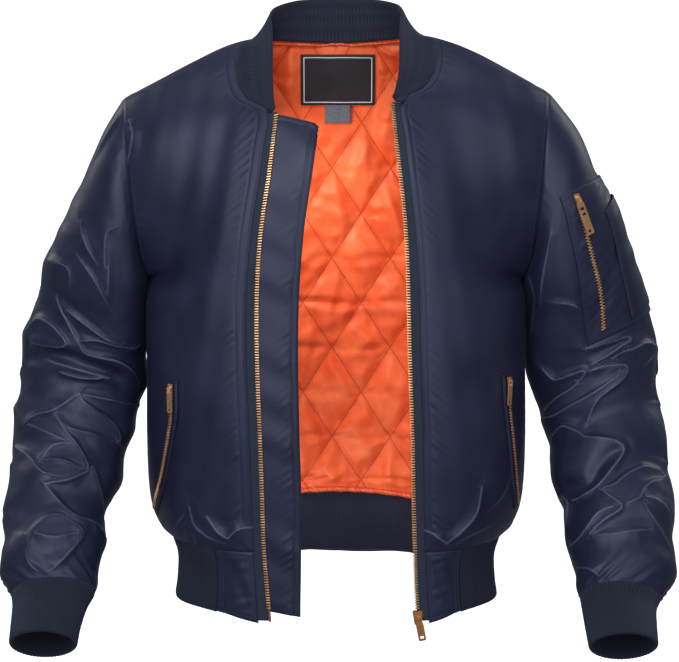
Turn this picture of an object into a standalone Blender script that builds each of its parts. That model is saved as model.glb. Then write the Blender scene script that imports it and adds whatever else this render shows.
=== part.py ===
"""A men's medium bomber jacket, filled out as when worn, with its front zip undone.

Metres, +Z up, front towards -Y. The origin is in the middle of the neck opening, level with
the neck ends of the shoulder seams. "Right" and "left" are the wearer's, so right is at -X.
"""

import math

import bmesh
import bpy
import numpy as np
from mathutils import Matrix, Vector
from mathutils.bvhtree import BVHTree
from mathutils.geometry import delaunay_2d_cdt

# ---------------------------------------------------------------- driving dimensions
GAP = 0.0004  # between pieces at a seam
SHELL = 0.0014  # nylon shell with its interlining
LINING = 0.0015  # quilted lining along its sewn lines
PUFF = 0.0042  # how far a diamond of wadding stands over its sewn lines
RIB_WALL = 0.0024  # doubled rib knit
RIB_HEIGHT = 0.0011
ZIP_MARGIN = 0.006  # from the middle of the chain to the fold of the front panel
TAPE_WIDTH = 0.013
TAPE_DEPTH = 0.0019  # its face below the face of the front panel
TAPE = 0.0010
CHAIN_WIDTH = 0.0046
CHAIN_DEPTH = 0.0002
CHAIN = 0.0026
FLAP_DEPTH = 0.0033
FLAP_ROOT = 0.0145  # how far it reaches behind the zip tape
LINING_DEPTH = 0.0070  # its hidden face, below the face of the shell
LINING_SEAM_DEPTH = 0.0021
LINING_NEAR_DEPTH = 0.0036
LINING_FROM_ZIP = 0.0125
QUILT_COLUMNS = 8  # half diamonds across half the back
QUILT_SHIFT = -0.019  # the pattern is cut a little to the right of the centre
QUILT_TOP = -0.0437  # a row of crossings at the centre back
QUILT_STEP = 0.0569
FRONT_QUILT_COLUMNS = 5
ARMPIT_ROWS = 3  # rows above and below the armpit where the lining keeps close to the shell
PULL = 0.0012  # metal of a zip pull
SLIDER = 0.0014  # metal of a slider's plate
AXIS = 0.00115  # middle of a pull's crossbar over the slider's plate
BAND_RIBS = 75  # each one stands for about three ribs of the real knit
CUFF_RIBS = 20
COLLAR_RIBS = 42
SLEEVE_COLUMNS = 18
FRONT_COLUMNS = 9
BACK_COLUMNS = 9  # to each side of the centre back

# Rows of the body run up the front from its waist seam, over the shoulder seam, and down
# the back. One row of the armhole stands for each column of the sleeve.
UNDERARM = 12
NECK_FRONT = 17
SHOULDER = 21
NECK_BACK = 24
BACK_UNDERARM = 30
ROWS = 42

SIDES = {"right": -1.0, "left": 1.0}

# Middle of the zip chain, from the hem to the neck.
ZIP_LINE = (
    # z, x on the right, x on the left, y
    (-0.6900, 0.0758, 0.0965, -0.1190),
    (-0.6400, 0.0800, 0.0925, -0.1200),
    (-0.5980, 0.0832, 0.0912, -0.1215),
    (-0.5300, 0.0850, 0.0890, -0.1270),
    (-0.4500, 0.0875, 0.0870, -0.1310),
    (-0.3700, 0.0900, 0.0838, -0.1310),
    (-0.3000, 0.0900, 0.0822, -0.1290),
    (-0.2250, 0.0850, 0.0790, -0.1240),
    (-0.1550, 0.0750, 0.0720, -0.1110),
    (-0.0905, 0.0680, 0.0652, -0.0880),
    (-0.0700, 0.0655, 0.0635, -0.0800),
)
EDGE_ROWS = (
    # row, z of the zip edge
    (0, -0.5980),
    (2, -0.5740),
    (4, -0.5270),
    (6, -0.4630),
    (9, -0.3610),
    (12, -0.2680),
    (15, -0.1700),
    (17, -0.0905),
)
NECK_LIFT = {"right": 0.0, "left": 0.0125}  # the left front was pulled up a little
SHOULDER_ARCH = {"right": 0.0080, "left": 0.0100}  # fullness over the shoulder seam

NECKLINE = (
    # row, x, y, z
    (17, 0.0740, -0.0880, -0.0905),
    (18, 0.0990, -0.0690, -0.0735),
    (19, 0.1090, -0.0500, -0.0570),
    (20, 0.1140, -0.0240, -0.0330),
    (21, 0.1142, 0.0040, -0.0108),
    (22, 0.0980, 0.0320, -0.0020),
    (23, 0.0560, 0.0570, -0.0025),
    (24, 0.0000, 0.0650, -0.0050),
)
CENTRE_BACK = (
    # row, x, y, z
    (24, 0.0, 0.0650, -0.0050),
    (26, 0.0, 0.0850, -0.0600),
    (28, 0.0, 0.1070, -0.1340),
    (30, 0.0, 0.1230, -0.2220),
    (33, 0.0, 0.1295, -0.3450),
    (36, 0.0, 0.1270, -0.4500),
    (39, 0.0, 0.1260, -0.5300),
    (40.5, 0.0, 0.1235, -0.5570),
    (42, 0.0, 0.1120, -0.5730),
)
SIDE_SEAM = (
    # row, x, y, z, upward part of the normal
    (0, 0.1985, -0.002, -0.6000, -0.70),
    (1, 0.2100, -0.001, -0.5895, -0.60),
    (2, 0.2190, 0.000, -0.5745, -0.42),
    (3, 0.2245, 0.001, -0.5540, -0.20),
    (5, 0.2285, 0.003, -0.4960, -0.02),
    (8, 0.2284, 0.006, -0.3950, 0.00),
    (10, 0.2283, 0.007, -0.3300, -0.02),
    (11, 0.2278, 0.007, -0.3060, -0.15),
    (12, 0.2284, 0.005, -0.2900, -1.00),
)
# How each row leaves the centre edge, for a run of 1 outwards, and how full it is.
ROW_LEAN = (
    # row, back, up, fullness at the edge, fullness at the seam
    (0, 0.00, 0.00, 1.15, 1.00),
    (4, -0.03, 0.00, 1.20, 1.12),
    (12, -0.02, 0.00, 1.18, 1.10),
    (14, 0.04, -0.02, 1.08, 1.00),
    (16, 0.14, -0.07, 1.02, 1.00),
    (17, 0.20, -0.12, 1.00, 1.00),
    (18, 0.06, -0.22, 1.00, 1.00),
    (19, -0.05, -0.30, 1.00, 1.00),
    (20, -0.03, -0.38, 1.00, 1.00),
    (21, 0.00, -0.45, 1.00, 1.00),
    (22, 0.03, -0.34, 1.00, 1.00),
    (23, 0.03, -0.14, 1.05, 1.00),
    (24, 0.00, 0.00, 1.15, 1.00),
    (28, 0.00, 0.00, 1.25, 0.92),
    (33, 0.00, 0.00, 1.40, 0.85),
    (42, 0.00, 0.00, 1.40, 0.85),
)

ARMHOLE_MIDDLE = (0.2402, 0.005)  # x and y
ARMHOLE_TOP = {"right": -0.0730, "left": -0.0660}
ARMHOLE_FOOT = -0.2900
ARMHOLE_FRONT = 0.064
ARMHOLE_BACK = 0.068
ARMHOLE_LEAN = 0.0118  # the top stands this far outside its centre

# Rings of each sleeve below its armhole, by the points seen furthest out and furthest in.
SLEEVE_RINGS = {
    "right": (
        # outer x, outer z, inner x, inner z, y, half depth, forward tilt in degrees
        (0.2790, -0.1170, 0.2292, -0.3080, 0.006, 0.072, 0),
        (0.3050, -0.1720, 0.2290, -0.3330, 0.009, 0.073, 0),
        (0.3290, -0.2190, 0.2290, -0.3600, 0.014, 0.072, 0),
        (0.3510, -0.2640, 0.2294, -0.3880, 0.020, 0.070, 0),
        (0.3640, -0.3110, 0.2316, -0.4200, 0.026, 0.067, 2),
        (0.3790, -0.3610, 0.2400, -0.4480, 0.028, 0.065, 6),
        (0.3855, -0.4180, 0.2480, -0.4760, 0.020, 0.064, 12),
        (0.3900, -0.4700, 0.2520, -0.5040, 0.000, 0.062, 22),
        (0.3920, -0.5150, 0.2600, -0.5330, -0.030, 0.060, 32),
        (0.3905, -0.5560, 0.2700, -0.5620, -0.060, 0.057, 38),
        (0.3898, -0.5920, 0.2712, -0.5900, -0.095, 0.053, 42),
        (0.3865, -0.6250, 0.2730, -0.6190, -0.125, 0.047, 44),
        (0.3715, -0.6440, 0.2770, -0.6390, -0.147, 0.035, 45),
    ),
    "left": (
        # outer x, outer z, inner x, inner z, y, half depth, forward tilt in degrees
        (0.2890, -0.1120, 0.2292, -0.3080, 0.006, 0.072, 0),
        (0.3130, -0.1640, 0.2290, -0.3320, 0.009, 0.073, 0),
        (0.3345, -0.2070, 0.2292, -0.3560, 0.014, 0.072, 0),
        (0.3520, -0.2540, 0.2294, -0.3820, 0.020, 0.070, 0),
        (0.3720, -0.3060, 0.2320, -0.4080, 0.026, 0.067, 2),
        (0.3890, -0.3600, 0.2430, -0.4380, 0.028, 0.065, 6),
        (0.3925, -0.4180, 0.2510, -0.4660, 0.020, 0.064, 12),
        (0.3970, -0.4680, 0.2560, -0.4960, 0.002, 0.062, 22),
        (0.4000, -0.5160, 0.2600, -0.5280, -0.025, 0.060, 32),
        (0.3990, -0.5560, 0.2690, -0.5580, -0.058, 0.057, 38),
        (0.3970, -0.5940, 0.2715, -0.5900, -0.092, 0.053, 42),
        (0.3930, -0.6270, 0.2745, -0.6220, -0.122, 0.047, 44),
        (0.3720, -0.6500, 0.2800, -0.6440, -0.145, 0.035, 45),
    ),
}
CUFF_RINGS = {
    "right": (
        # outer x, outer z, inner x, inner z, y, half depth, forward tilt in degrees
        (0.3715, -0.6440, 0.2770, -0.6390, -0.147, 0.035, 45),
        (0.3680, -0.6540, 0.2835, -0.6510, -0.163, 0.032, 44),
        (0.3665, -0.6690, 0.2880, -0.6680, -0.185, 0.032, 43),
        (0.3655, -0.6840, 0.2895, -0.6830, -0.205, 0.033, 42),
    ),
    "left": (
        # outer x, outer z, inner x, inner z, y, half depth, forward tilt in degrees
        (0.3720, -0.6500, 0.2800, -0.6440, -0.145, 0.035, 45),
        (0.3650, -0.6580, 0.2805, -0.6540, -0.161, 0.032, 44),
        (0.3620, -0.6710, 0.2815, -0.6700, -0.184, 0.032, 43),
        (0.3605, -0.6860, 0.2830, -0.6860, -0.205, 0.033, 42),
    ),
}

# The rib waistband, by the way round it from the front to the centre back.
BAND_DROP = (
    # share of the way, height of the band
    (0.0, 0.0860),
    (0.10, 0.0765),
    (0.40, 0.0740),
    (1.0, 0.0700),
)
BAND_PROFILE = (
    # share of the height from the top, how far it stands out
    (0.00, 0.0000),
    (0.30, -0.0065),
    (0.70, -0.0055),
    (0.95, -0.0030),
    (1.00, -0.0048),
)
END_PANEL_X = {"right": 0.1430, "left": 0.1500}  # seam of the shell-cloth ends of the band

COLLAR_RIM = (
    # row of the neckline, x, y, z
    (17, 0.0722, -0.0890, -0.0860),
    (18, 0.0745, -0.0710, -0.0670),
    (19, 0.0755, -0.0500, -0.0455),
    (20, 0.0765, -0.0260, -0.0210),
    (21, 0.0780, 0.0040, 0.0070),
    (22, 0.0780, 0.0330, 0.0310),
    (23, 0.0480, 0.0690, 0.0435),
    (24, 0.0000, 0.0790, 0.0455),
)
NECK_ROWS = (17, 18, 19, 20, 21, 22, 22.5, 23, 23.5, 24)

FLAP_WIDTH = (
    # z, from the chain to the free edge
    (-0.6740, 0.0350),
    (-0.6000, 0.0420),
    (-0.4500, 0.0450),
    (-0.3000, 0.0475),
    (-0.1500, 0.0495),
    (-0.0960, 0.0500),
)

# Hand pocket zips, as places on each front.
POCKETS = {
    "right": (
        # row, across
        (7.54, 0.485),
        (6.77, 0.485),
        (5.73, 0.529),
        (4.57, 0.597),
        (3.59, 0.678),
        (2.70, 0.790),
    ),
    "left": (
        # row, across
        (7.74, 0.563),
        (6.89, 0.574),
        (5.85, 0.610),
        (4.70, 0.656),
        (3.78, 0.699),
        (3.03, 0.749),
    ),
}
POCKET_PULL = {
    # row and across of the end of the pull, its width
    "right": (6.70, 0.482, 0.0080),
    "left": (6.91, 0.545, 0.0076),
}
WELT_WIDTH = 0.0160
WELT_LIFT = 0.0008
WELT = 0.0010

# The utility pocket on the left sleeve, as places on it.
PATCH_TOP = (
    # share of the width, place along the sleeve, degrees round it
    (0.00, 0.84, 82.0),
    (0.18, 1.37, 61.8),
    (0.31, 1.67, 46.2),
    (0.43, 1.87, 31.6),
    (0.70, 2.05, 0.0),
    (1.00, 2.12, -38.0),
)
PATCH_BOTTOM = (
    # share of the width, place along the sleeve, degrees round it
    (0.00, 5.21, 94.4),
    (0.18, 5.33, 72.2),
    (0.31, 5.40, 56.1),
    (0.43, 5.43, 40.0),
    (0.70, 5.45, 4.0),
    (1.00, 5.45, -38.0),
)
PATCH_LIFT = 0.0011
PATCH = 0.0009
SLEEVE_ZIP = (
    # place along the sleeve, degrees round it
    (1.45, 67.4),
    (1.91, 68.2),
    (2.49, 70.5),
    (3.19, 72.2),
    (3.89, 72.2),
    (4.47, 74.6),
    (5.05, 78.5),
)
SLEEVE_PULL_END = (2.45, 68.0)
PEN_TOP = (2.62, 38.0, -12.0)  # place along the sleeve, degrees of its front and back edges
PEN_BOTTOM = (5.28, 50.0, 2.0)

LABEL = (0.002, -0.0205, 0.090, 0.0605)  # middle x, top z, width, height
SIZE_LABEL = (0.002, -0.0815, 0.031, 0.0215)
LABEL_LIFT = 0.0005
LABEL_CLOTH = 0.0008

SLEEVE_FOLD = {
    # place of the first fold, height, turn of the folds round the sleeve
    "right": (3.0, 0.0026, 1.0),
    "left": (6.0, 0.0026, -1.0),
}

# ---------------------------------------------------------------- materials


def material(name, colour, roughness, metallic=0.0):
    """A plain Principled BSDF finish."""
    made = bpy.data.materials.new(name)
    made.use_nodes = True
    shader = made.node_tree.nodes["Principled BSDF"]
    shader.inputs["Base Color"].default_value = (*colour, 1.0)
    shader.inputs["Roughness"].default_value = roughness
    shader.inputs["Metallic"].default_value = metallic
    made.diffuse_color = (*colour, 1.0)
    return made


# ---------------------------------------------------------------- curves and frames


def through(table, at):
    """Reads the smooth curve through a table's rows at places on its first column."""
    rows = np.asarray(table, float)
    knots, values = rows[:, 0], rows[:, 1:]
    steps = np.diff(knots)
    slopes = np.diff(values, axis=0) / steps[:, None]
    middle = (slopes[:-1] * steps[1:, None] + slopes[1:] * steps[:-1, None]) / (
        steps[1:] + steps[:-1]
    )[:, None]
    tangents = np.vstack([slopes[:1], middle, slopes[-1:]])
    at = np.asarray(at, float)
    flat = at.reshape(-1)
    i = np.clip(np.searchsorted(knots, flat, side="right") - 1, 0, len(steps) - 1)
    t = ((flat - knots[i]) / steps[i])[:, None]
    run = steps[i][:, None]
    point = (
        (2 * t**3 - 3 * t**2 + 1) * values[i]
        + (t**3 - 2 * t**2 + t) * run * tangents[i]
        + (3 * t**2 - 2 * t**3) * values[i + 1]
        + (t**3 - t**2) * run * tangents[i + 1]
    )
    return point.reshape(*at.shape, values.shape[1])


def unit(vectors):
    """Vectors of length 1."""
    return vectors / np.linalg.norm(vectors, axis=-1, keepdims=True)


def mirrored(side, points):
    """Points given for the left, put on the named side."""
    return points * np.array([SIDES[side], 1.0, 1.0])


def smooth_step(share):
    """Rises from 0 to 1 with level ends."""
    share = np.clip(share, 0.0, 1.0)
    return share * share * (3.0 - 2.0 * share)


# ---------------------------------------------------------------- cloth walls


def closed_object(name, points, faces, finish, parts):
    """An object from points and faces, turned outwards, with unused points left out."""
    mesh = bpy.data.meshes.new(name)
    mesh.from_pydata([tuple(map(float, point)) for point in points], [], faces)
    build = bmesh.new()
    build.from_mesh(mesh)
    loose = [vertex for vertex in build.verts if not vertex.link_faces]
    bmesh.ops.delete(build, geom=loose, context="VERTS")
    if build.calc_volume(signed=True) < 0:
        bmesh.ops.reverse_faces(build, faces=build.faces)
    build.to_mesh(mesh)
    build.free()
    mesh.shade_smooth()
    mesh.set_sharp_from_angle(angle=math.radians(40))
    mesh.materials.append(finish)
    made = bpy.data.objects.new(name, mesh)
    parts.objects.link(made)
    return made


def wall(name, outside, inside, triangles, finish, parts):
    """A closed wall between two matching lists of points, joined along the triangles' edge."""
    outside = np.asarray(outside).reshape(-1, 3)
    inside = np.asarray(inside).reshape(-1, 3)
    count = len(outside)
    faces = []
    border = {}
    for a, b, c in triangles:
        faces.append((a, b, c))
        faces.append((count + c, count + b, count + a))
        for start, end in ((a, b), (b, c), (c, a)):
            if (end, start) in border:
                del border[end, start]
            else:
                border[start, end] = True
    for start, end in border:
        faces.append((end, start, count + start))
        faces.append((end, count + start, count + end))
    return closed_object(name, [*outside, *inside], faces, finish, parts)


def grid_triangles(rows, columns, start=0, around=False):
    """The triangles of a grid of points, which closes on itself where it runs around."""
    triangles = []
    for row in range(rows - 1):
        for column in range(columns if around else columns - 1):
            following = (column + 1) % columns
            a = start + row * columns + column
            b = start + row * columns + following
            triangles.append((a, b, b + columns))
            triangles.append((a, b + columns, a + columns))
    return triangles


def sheet(name, outside, inside, finish, parts, around=False):
    """A wall from two matching grids of points."""
    triangles = grid_triangles(*outside.shape[:2], around=around)
    return wall(name, outside, inside, triangles, finish, parts)


def ribbed_wall(name, outside, inside, finish, parts, around=False):
    """A wall whose outside has several columns of points to each column of its inside."""
    rows, fine = outside.shape[:2]
    coarse = inside.shape[1]
    ratio = fine // coarse if around else (fine - 1) // (coarse - 1)
    points = [*outside.reshape(-1, 3), *inside.reshape(-1, 3)]
    count = rows * fine
    faces = []
    faces += grid_triangles(rows, fine, around=around)
    for a, b, c in grid_triangles(rows, coarse, start=count, around=around):
        faces.append((c, b, a))
    for column in range(coarse if around else coarse - 1):
        along = [(column * ratio + step) % fine for step in range(ratio + 1)]
        first, last = count + column, count + (column + 1) % coarse
        faces.append([*reversed(along), first, last])
        below = (rows - 1) * fine
        lower = (rows - 1) * coarse
        faces.append([*(below + step for step in along), last + lower, first + lower])
    if not around:
        for row in range(rows - 1):
            a, b = row * fine, (row + 1) * fine
            c, d = count + row * coarse, count + (row + 1) * coarse
            faces.append((a, b, d, c))
            faces.append((b + fine - 1, a + fine - 1, c + coarse - 1, d + coarse - 1))
    return closed_object(name, points, faces, finish, parts)


def inside_loop(point, loop):
    """Whether a flat point lies inside a closed loop of points."""
    count = 0
    for (x0, y0), (x1, y1) in zip(loop, [*loop[1:], loop[0]]):
        if (y0 > point[1]) != (y1 > point[1]):
            count += point[0] < x0 + (point[1] - y0) / (y1 - y0) * (x1 - x0)
    return count % 2 == 1


def triangulated(points, loops, lines=()):
    """Triangles over flat points within the first loop and outside the others.

    The loops and lines name points by their order, and every one of them becomes an edge.
    """
    flat = [Vector((float(x), float(y))) for x, y in points]
    edges = [(loop[i - 1], loop[i]) for loop in loops for i in range(len(loop))]
    made = delaunay_2d_cdt(flat, [*edges, *lines], [], 0, 1e-9)
    places = [sources[0] for sources in made[3]]
    corners = [[tuple(points[index]) for index in loop] for loop in loops]
    triangles = []
    for face in made[2]:
        a, b, c = (places[index] for index in face)
        middle = (np.asarray(points[a]) + points[b] + points[c]) / 3
        if not inside_loop(middle, corners[0]):
            continue
        if any(inside_loop(middle, hole) for hole in corners[1:]):
            continue
        (ax, ay), (bx, by), (cx, cy) = points[a], points[b], points[c]
        area = (bx - ax) * (cy - ay) - (cx - ax) * (by - ay)
        triangles.append((a, b, c) if area > 0 else (c, b, a))
    return triangles


def plate(name, loops, low, high, finish, parts, upright=False):
    """A flat piece with holes: in XY from z low to high or, upright, in YZ from x low to high."""
    points = [point for loop in loops for point in loop]
    numbered, start = [], 0
    for loop in loops:
        numbered.append(list(range(start, start + len(loop))))
        start += len(loop)
    triangles = triangulated(points, numbered)
    sides = []
    for level in (high, low):
        solid = [(x, y, level) for x, y in points]
        sides.append([(z, x, y) for x, y, z in solid] if upright else solid)
    return wall(name, sides[0], sides[1], triangles, finish, parts)


def rounded(width, low, high, radius, taper=0.0):
    """Outline of an upright bar with rounded corners, narrower at its low end by the taper."""
    outline = []
    for x, y, start in (
        (width / 2 - taper / 2, low, -90),
        (width / 2, high, 0),
        (-width / 2, high, 90),
        (taper / 2 - width / 2, low, 180),
    ):
        inward_x = x - math.copysign(radius, x)
        inward_y = y + radius if y == low else y - radius
        for step in range(4):
            angle = math.radians(start + 30 * step)
            outline.append(
                (inward_x + radius * math.cos(angle), inward_y + radius * math.sin(angle))
            )
    return outline


def box_outline(left, right, low, high):
    """Outline of a plain rectangle."""
    return [(left, low), (right, low), (right, high), (left, high)]


def joined(base, extra, helpers):
    """Unites a helper piece with the base piece."""
    for collection in list(extra.users_collection):
        collection.objects.unlink(extra)
    helpers.objects.link(extra)
    extra.hide_render = True
    extra.display_type = "WIRE"
    union = base.modifiers.new(f"join_{extra.name}", "BOOLEAN")
    union.operation = "UNION"
    union.solver = "EXACT"
    union.object = extra


def placed(piece, point, across, up, normal):
    """Puts a piece made about its own origin at a point, by the ways of its three axes."""
    turn = np.stack([across, up, normal], axis=1)
    matrix = Matrix.Identity(4)
    for row in range(3):
        for column in range(3):
            matrix[row][column] = float(turn[row, column])
        matrix[row][3] = float(point[row])
    piece.matrix_world = matrix
    return piece


def standing(normal, upward):
    """Three axes from a facing direction and a rough upward one."""
    normal = unit(normal)
    up = unit(upward - (upward @ normal) * normal)
    return np.cross(up, normal), up, normal


# ---------------------------------------------------------------- the body's surface


def zip_line(side, z):
    """Middle of the zip chain at heights z."""
    read = through(ZIP_LINE, z)
    x = read[..., 0] if side == "right" else read[..., 1]
    return np.stack([SIDES[side] * x, read[..., 2], np.asarray(z, float)], axis=-1)


def neck_lift(side, rows):
    """How much higher one side of the neckline sits, fading to nothing at the centre back."""
    return NECK_LIFT[side] * smooth_step((NECK_BACK - np.asarray(rows, float)) / 5)


def neck_shift(side, rows):
    """Moves the neckline so that its front end meets the top of the zip edge."""
    rows = np.asarray(rows, float)
    height = EDGE_ROWS[-1][1] + NECK_LIFT[side]
    corner = zip_line(side, height) + mirrored(side, np.array([ZIP_MARGIN, 0.0, 0.0]))
    plain = mirrored(side, np.array(NECKLINE[0][1:])) + [0.0, 0.0, NECK_LIFT[side]]
    shift = (corner - plain) * smooth_step((NECK_FRONT + 2 - rows) / 2)[..., None]
    shift[..., 2] += neck_lift(side, rows)
    return shift


def centre_edge(side, rows):
    """The edge nearest the centre: the zip edge, the neckline, then the centre back."""
    rows = np.asarray(rows, float)
    height = through(EDGE_ROWS, np.clip(rows, 0, NECK_FRONT))[..., 0]
    rise = smooth_step((rows - UNDERARM) / (NECK_FRONT - UNDERARM))
    front = zip_line(side, height + NECK_LIFT[side] * rise)
    front[..., 0] += SIDES[side] * ZIP_MARGIN
    neck = mirrored(side, through(NECKLINE, np.clip(rows, NECK_FRONT, NECK_BACK)))
    neck += neck_shift(side, rows)
    back = through(CENTRE_BACK, np.clip(rows, NECK_BACK, ROWS))
    edge = np.where((rows < NECK_FRONT)[..., None], front, neck)
    return np.where((rows > NECK_BACK)[..., None], back, edge)


def armhole_turn(rows):
    """Angle round the armhole from its top, and -1 for the front or 1 for the back."""
    turn = np.abs(np.asarray(rows, float) - SHOULDER) / (SHOULDER - UNDERARM) * math.pi
    return turn, np.where(np.asarray(rows) < SHOULDER, -1.0, 1.0)


def armhole(side, turn, face):
    """Points and outward normals of the armhole seam."""
    depth = np.where(face < 0, ARMHOLE_FRONT, ARMHOLE_BACK)
    x, y = ARMHOLE_MIDDLE
    z = (ARMHOLE_TOP[side] + ARMHOLE_FOOT) / 2
    radius = (ARMHOLE_TOP[side] - ARMHOLE_FOOT) / 2
    point = np.stack(
        [
            x + ARMHOLE_LEAN * np.cos(turn),
            y + face * depth * np.sin(turn),
            z + radius * np.cos(turn),
        ],
        axis=-1,
    )
    normal = np.stack(
        [
            0.14 + 0.14 * np.cos(turn) + 0.38 * np.sin(turn),
            0.85 * face * np.sin(turn),
            0.03 + 0.965 * np.cos(turn),
        ],
        axis=-1,
    )
    return mirrored(side, point), mirrored(side, unit(normal))


def outer_seam(side, rows):
    """Points, outward normals and the rows' own direction along side seam and armhole."""
    rows = np.asarray(rows, float)
    low = np.minimum(rows, 2 * SHOULDER - rows)
    read = through(SIDE_SEAM, np.clip(low, 0, UNDERARM))
    upward = np.clip(read[..., 3], -1.0, 1.0)
    outward = np.sqrt(1.0 - upward**2)
    straight = np.stack([outward, 0 * upward, upward], axis=-1)
    turn, face = armhole_turn(rows)
    arm_point, arm_normal = armhole(side, np.minimum(turn, math.pi), face)
    on_side = (low < UNDERARM)[..., None]
    point = np.where(on_side, mirrored(side, read[..., :3]), arm_point)
    normal = np.where(on_side, mirrored(side, straight), arm_normal)
    at_side = 90.0 - 25.0 * smooth_step((low - UNDERARM + 3) / 3)
    at_arm = 65.0 * np.minimum(turn, math.pi) / math.pi
    sweep = np.radians(np.where(low < UNDERARM, at_side, at_arm))
    heading = np.stack(
        [SIDES[side] * np.cos(sweep), -face * np.sin(sweep), 0 * sweep], axis=-1
    )
    heading -= (heading * normal).sum(-1, keepdims=True) * normal
    return point, normal, unit(heading)


def body(side, rows, across):
    """Points of the body, from its centre edge (across 0) to the side or armhole (1)."""
    rows, across = np.broadcast_arrays(np.asarray(rows, float), np.asarray(across, float))
    start = centre_edge(side, rows)
    end, _, end_way = outer_seam(side, rows)
    lean = through(ROW_LEAN, rows)
    way = np.stack([np.ones_like(rows), lean[..., 0], lean[..., 1]], axis=-1)
    chord = np.linalg.norm(end - start, axis=-1, keepdims=True)
    start_way = mirrored(side, unit(way)) * chord * lean[..., 2:3]
    end_way = end_way * chord * lean[..., 3:4]
    t = across[..., None]
    point = (
        (2 * t**3 - 3 * t**2 + 1) * start
        + (t**3 - 2 * t**2 + t) * start_way
        + (3 * t**2 - 2 * t**3) * end
        + (t**3 - t**2) * end_way
    )
    near = np.exp(-(((rows - SHOULDER - 0.3) / 2.2) ** 2))
    point[..., 2] += SHOULDER_ARCH[side] * 4 * across * (1 - across) * near
    return point


def body_normal(side, rows, across):
    """Outward normals of the body, those of the seams on the seams themselves."""
    rows, across = np.broadcast_arrays(np.asarray(rows, float), np.asarray(across, float))
    small = 0.02
    front = rows <= NECK_FRONT
    low = np.where(front, 0.0, np.where(rows >= NECK_BACK, NECK_BACK, NECK_FRONT))
    high = np.where(front, NECK_FRONT, np.where(rows >= NECK_BACK, ROWS, NECK_BACK))
    up = body(side, np.minimum(rows + small, high), across)
    down = body(side, np.maximum(rows - small, low), across)
    out = body(side, rows, np.minimum(across + small, 1.0))
    in_ = body(side, rows, np.maximum(across - small, 0.0))
    normal = unit(np.cross(out - in_, up - down)) * SIDES[side]
    _, seam, _ = outer_seam(side, rows)
    normal = np.where((across >= 1.0)[..., None], seam, normal)
    at_centre = (across <= 0.0) & (rows >= NECK_BACK)
    flat = unit(normal * np.array([0.0, 1.0, 1.0]) + np.array([1e-9, 0.0, 0.0]))
    return np.where(at_centre[..., None], flat, normal)


def on_body(side, row, across, shift):
    """Row and share across of the place on the body that is shifted by a small vector."""
    small = 1e-3
    here = body(side, row, across)
    by_row = (body(side, row + small, across) - here) / small
    by_share = (body(side, row, across + small) - here) / small
    step = np.linalg.lstsq(np.stack([by_row, by_share], axis=1), shift, rcond=None)[0]
    return row + step[0], across + step[1]


# ---------------------------------------------------------------- sleeves


def ring(side, row, turn):
    """Points of one sleeve or cuff ring at angles from its outermost point to the front."""
    outer_x, outer_z, inner_x, inner_z, y, depth, tilt = row
    centre = np.array([(outer_x + inner_x) / 2, y, (outer_z + inner_z) / 2])
    half = np.array([(outer_x - inner_x) / 2, 0.0, (outer_z - inner_z) / 2])
    tilt = math.radians(tilt)
    forward = np.array([0.0, -math.cos(tilt), math.sin(tilt)])
    forward -= (forward @ half) * half / (half @ half)
    forward = unit(forward) * depth
    turn = np.asarray(turn, float)[..., None]
    return mirrored(side, centre + np.cos(turn) * half + np.sin(turn) * forward)


def sleeve_turns(count):
    """Angles of the columns round a sleeve."""
    return np.arange(count) * 2 * math.pi / count


def sleeve(side, along, turn):
    """Points of a sleeve: along 0 is the armhole, and each next ring is one further."""
    turn = np.mod(turn, 2 * math.pi)
    face = np.where(turn <= math.pi, -1.0, 1.0)
    angle = np.where(turn <= math.pi, turn, 2 * math.pi - turn)
    first, normal = armhole(side, angle, face)
    rings = [first] + [ring(side, row, turn) for row in SLEEVE_RINGS[side]]
    stations = np.stack(rings)
    knots = np.arange(len(rings), dtype=float)[:, None]
    columns = stations.reshape(len(rings), -1)
    along = np.asarray(along, float)
    read = through(np.hstack([knots, columns]), along).reshape(len(along), len(turn), 3)
    begin, height, swing = SLEEVE_FOLD[side]
    last = len(rings) - 1
    fade = smooth_step((along - begin) / 1.5) * smooth_step((last - along) / 1.5)
    wave = np.cos(math.pi * along[:, None] + swing * turn[None, :])
    centres = [ring(side, row, [0.0, math.pi]).mean(axis=0) for row in SLEEVE_RINGS[side]]
    centres.insert(0, (armhole(side, 0.0, 1.0)[0] + armhole(side, math.pi, 1.0)[0]) / 2)
    middle = through(np.hstack([knots, centres]), along)[:, None]
    return read + unit(read - middle) * (height * fade[:, None] * wave)[..., None]


def sleeve_normals(side, along, turn):
    """Outward normals of a sleeve, those of the armhole seam on that seam."""
    small = 0.02
    last = len(SLEEVE_RINGS[side])
    ahead = sleeve(side, np.minimum(along + small, last), turn)
    behind = sleeve(side, np.maximum(along - small, 0.0), turn)
    round_ = sleeve(side, along, turn + small) - sleeve(side, along, turn - small)
    normal = unit(np.cross(round_, ahead - behind)) * SIDES[side]
    face = np.where(turn <= math.pi, -1.0, 1.0)
    angle = np.where(turn <= math.pi, turn, 2 * math.pi - turn)
    _, seam = armhole(side, angle, face)
    normal[along <= 0.0] = seam
    return normal


def sleeve_spots(side, along, degrees):
    """Points and outward normals at matching lists of places on a sleeve."""
    points, normals = [], []
    for place, turn in zip(np.ravel(along), np.radians(np.ravel(degrees))):
        turn = np.array([turn % (2 * math.pi)])
        points.append(sleeve(side, np.array([place]), turn)[0, 0])
        normals.append(sleeve_normals(side, np.array([place]), turn)[0, 0])
    shape = (*np.shape(along), 3)
    return np.reshape(points, shape), np.reshape(normals, shape)


# ---------------------------------------------------------------- shells


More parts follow.
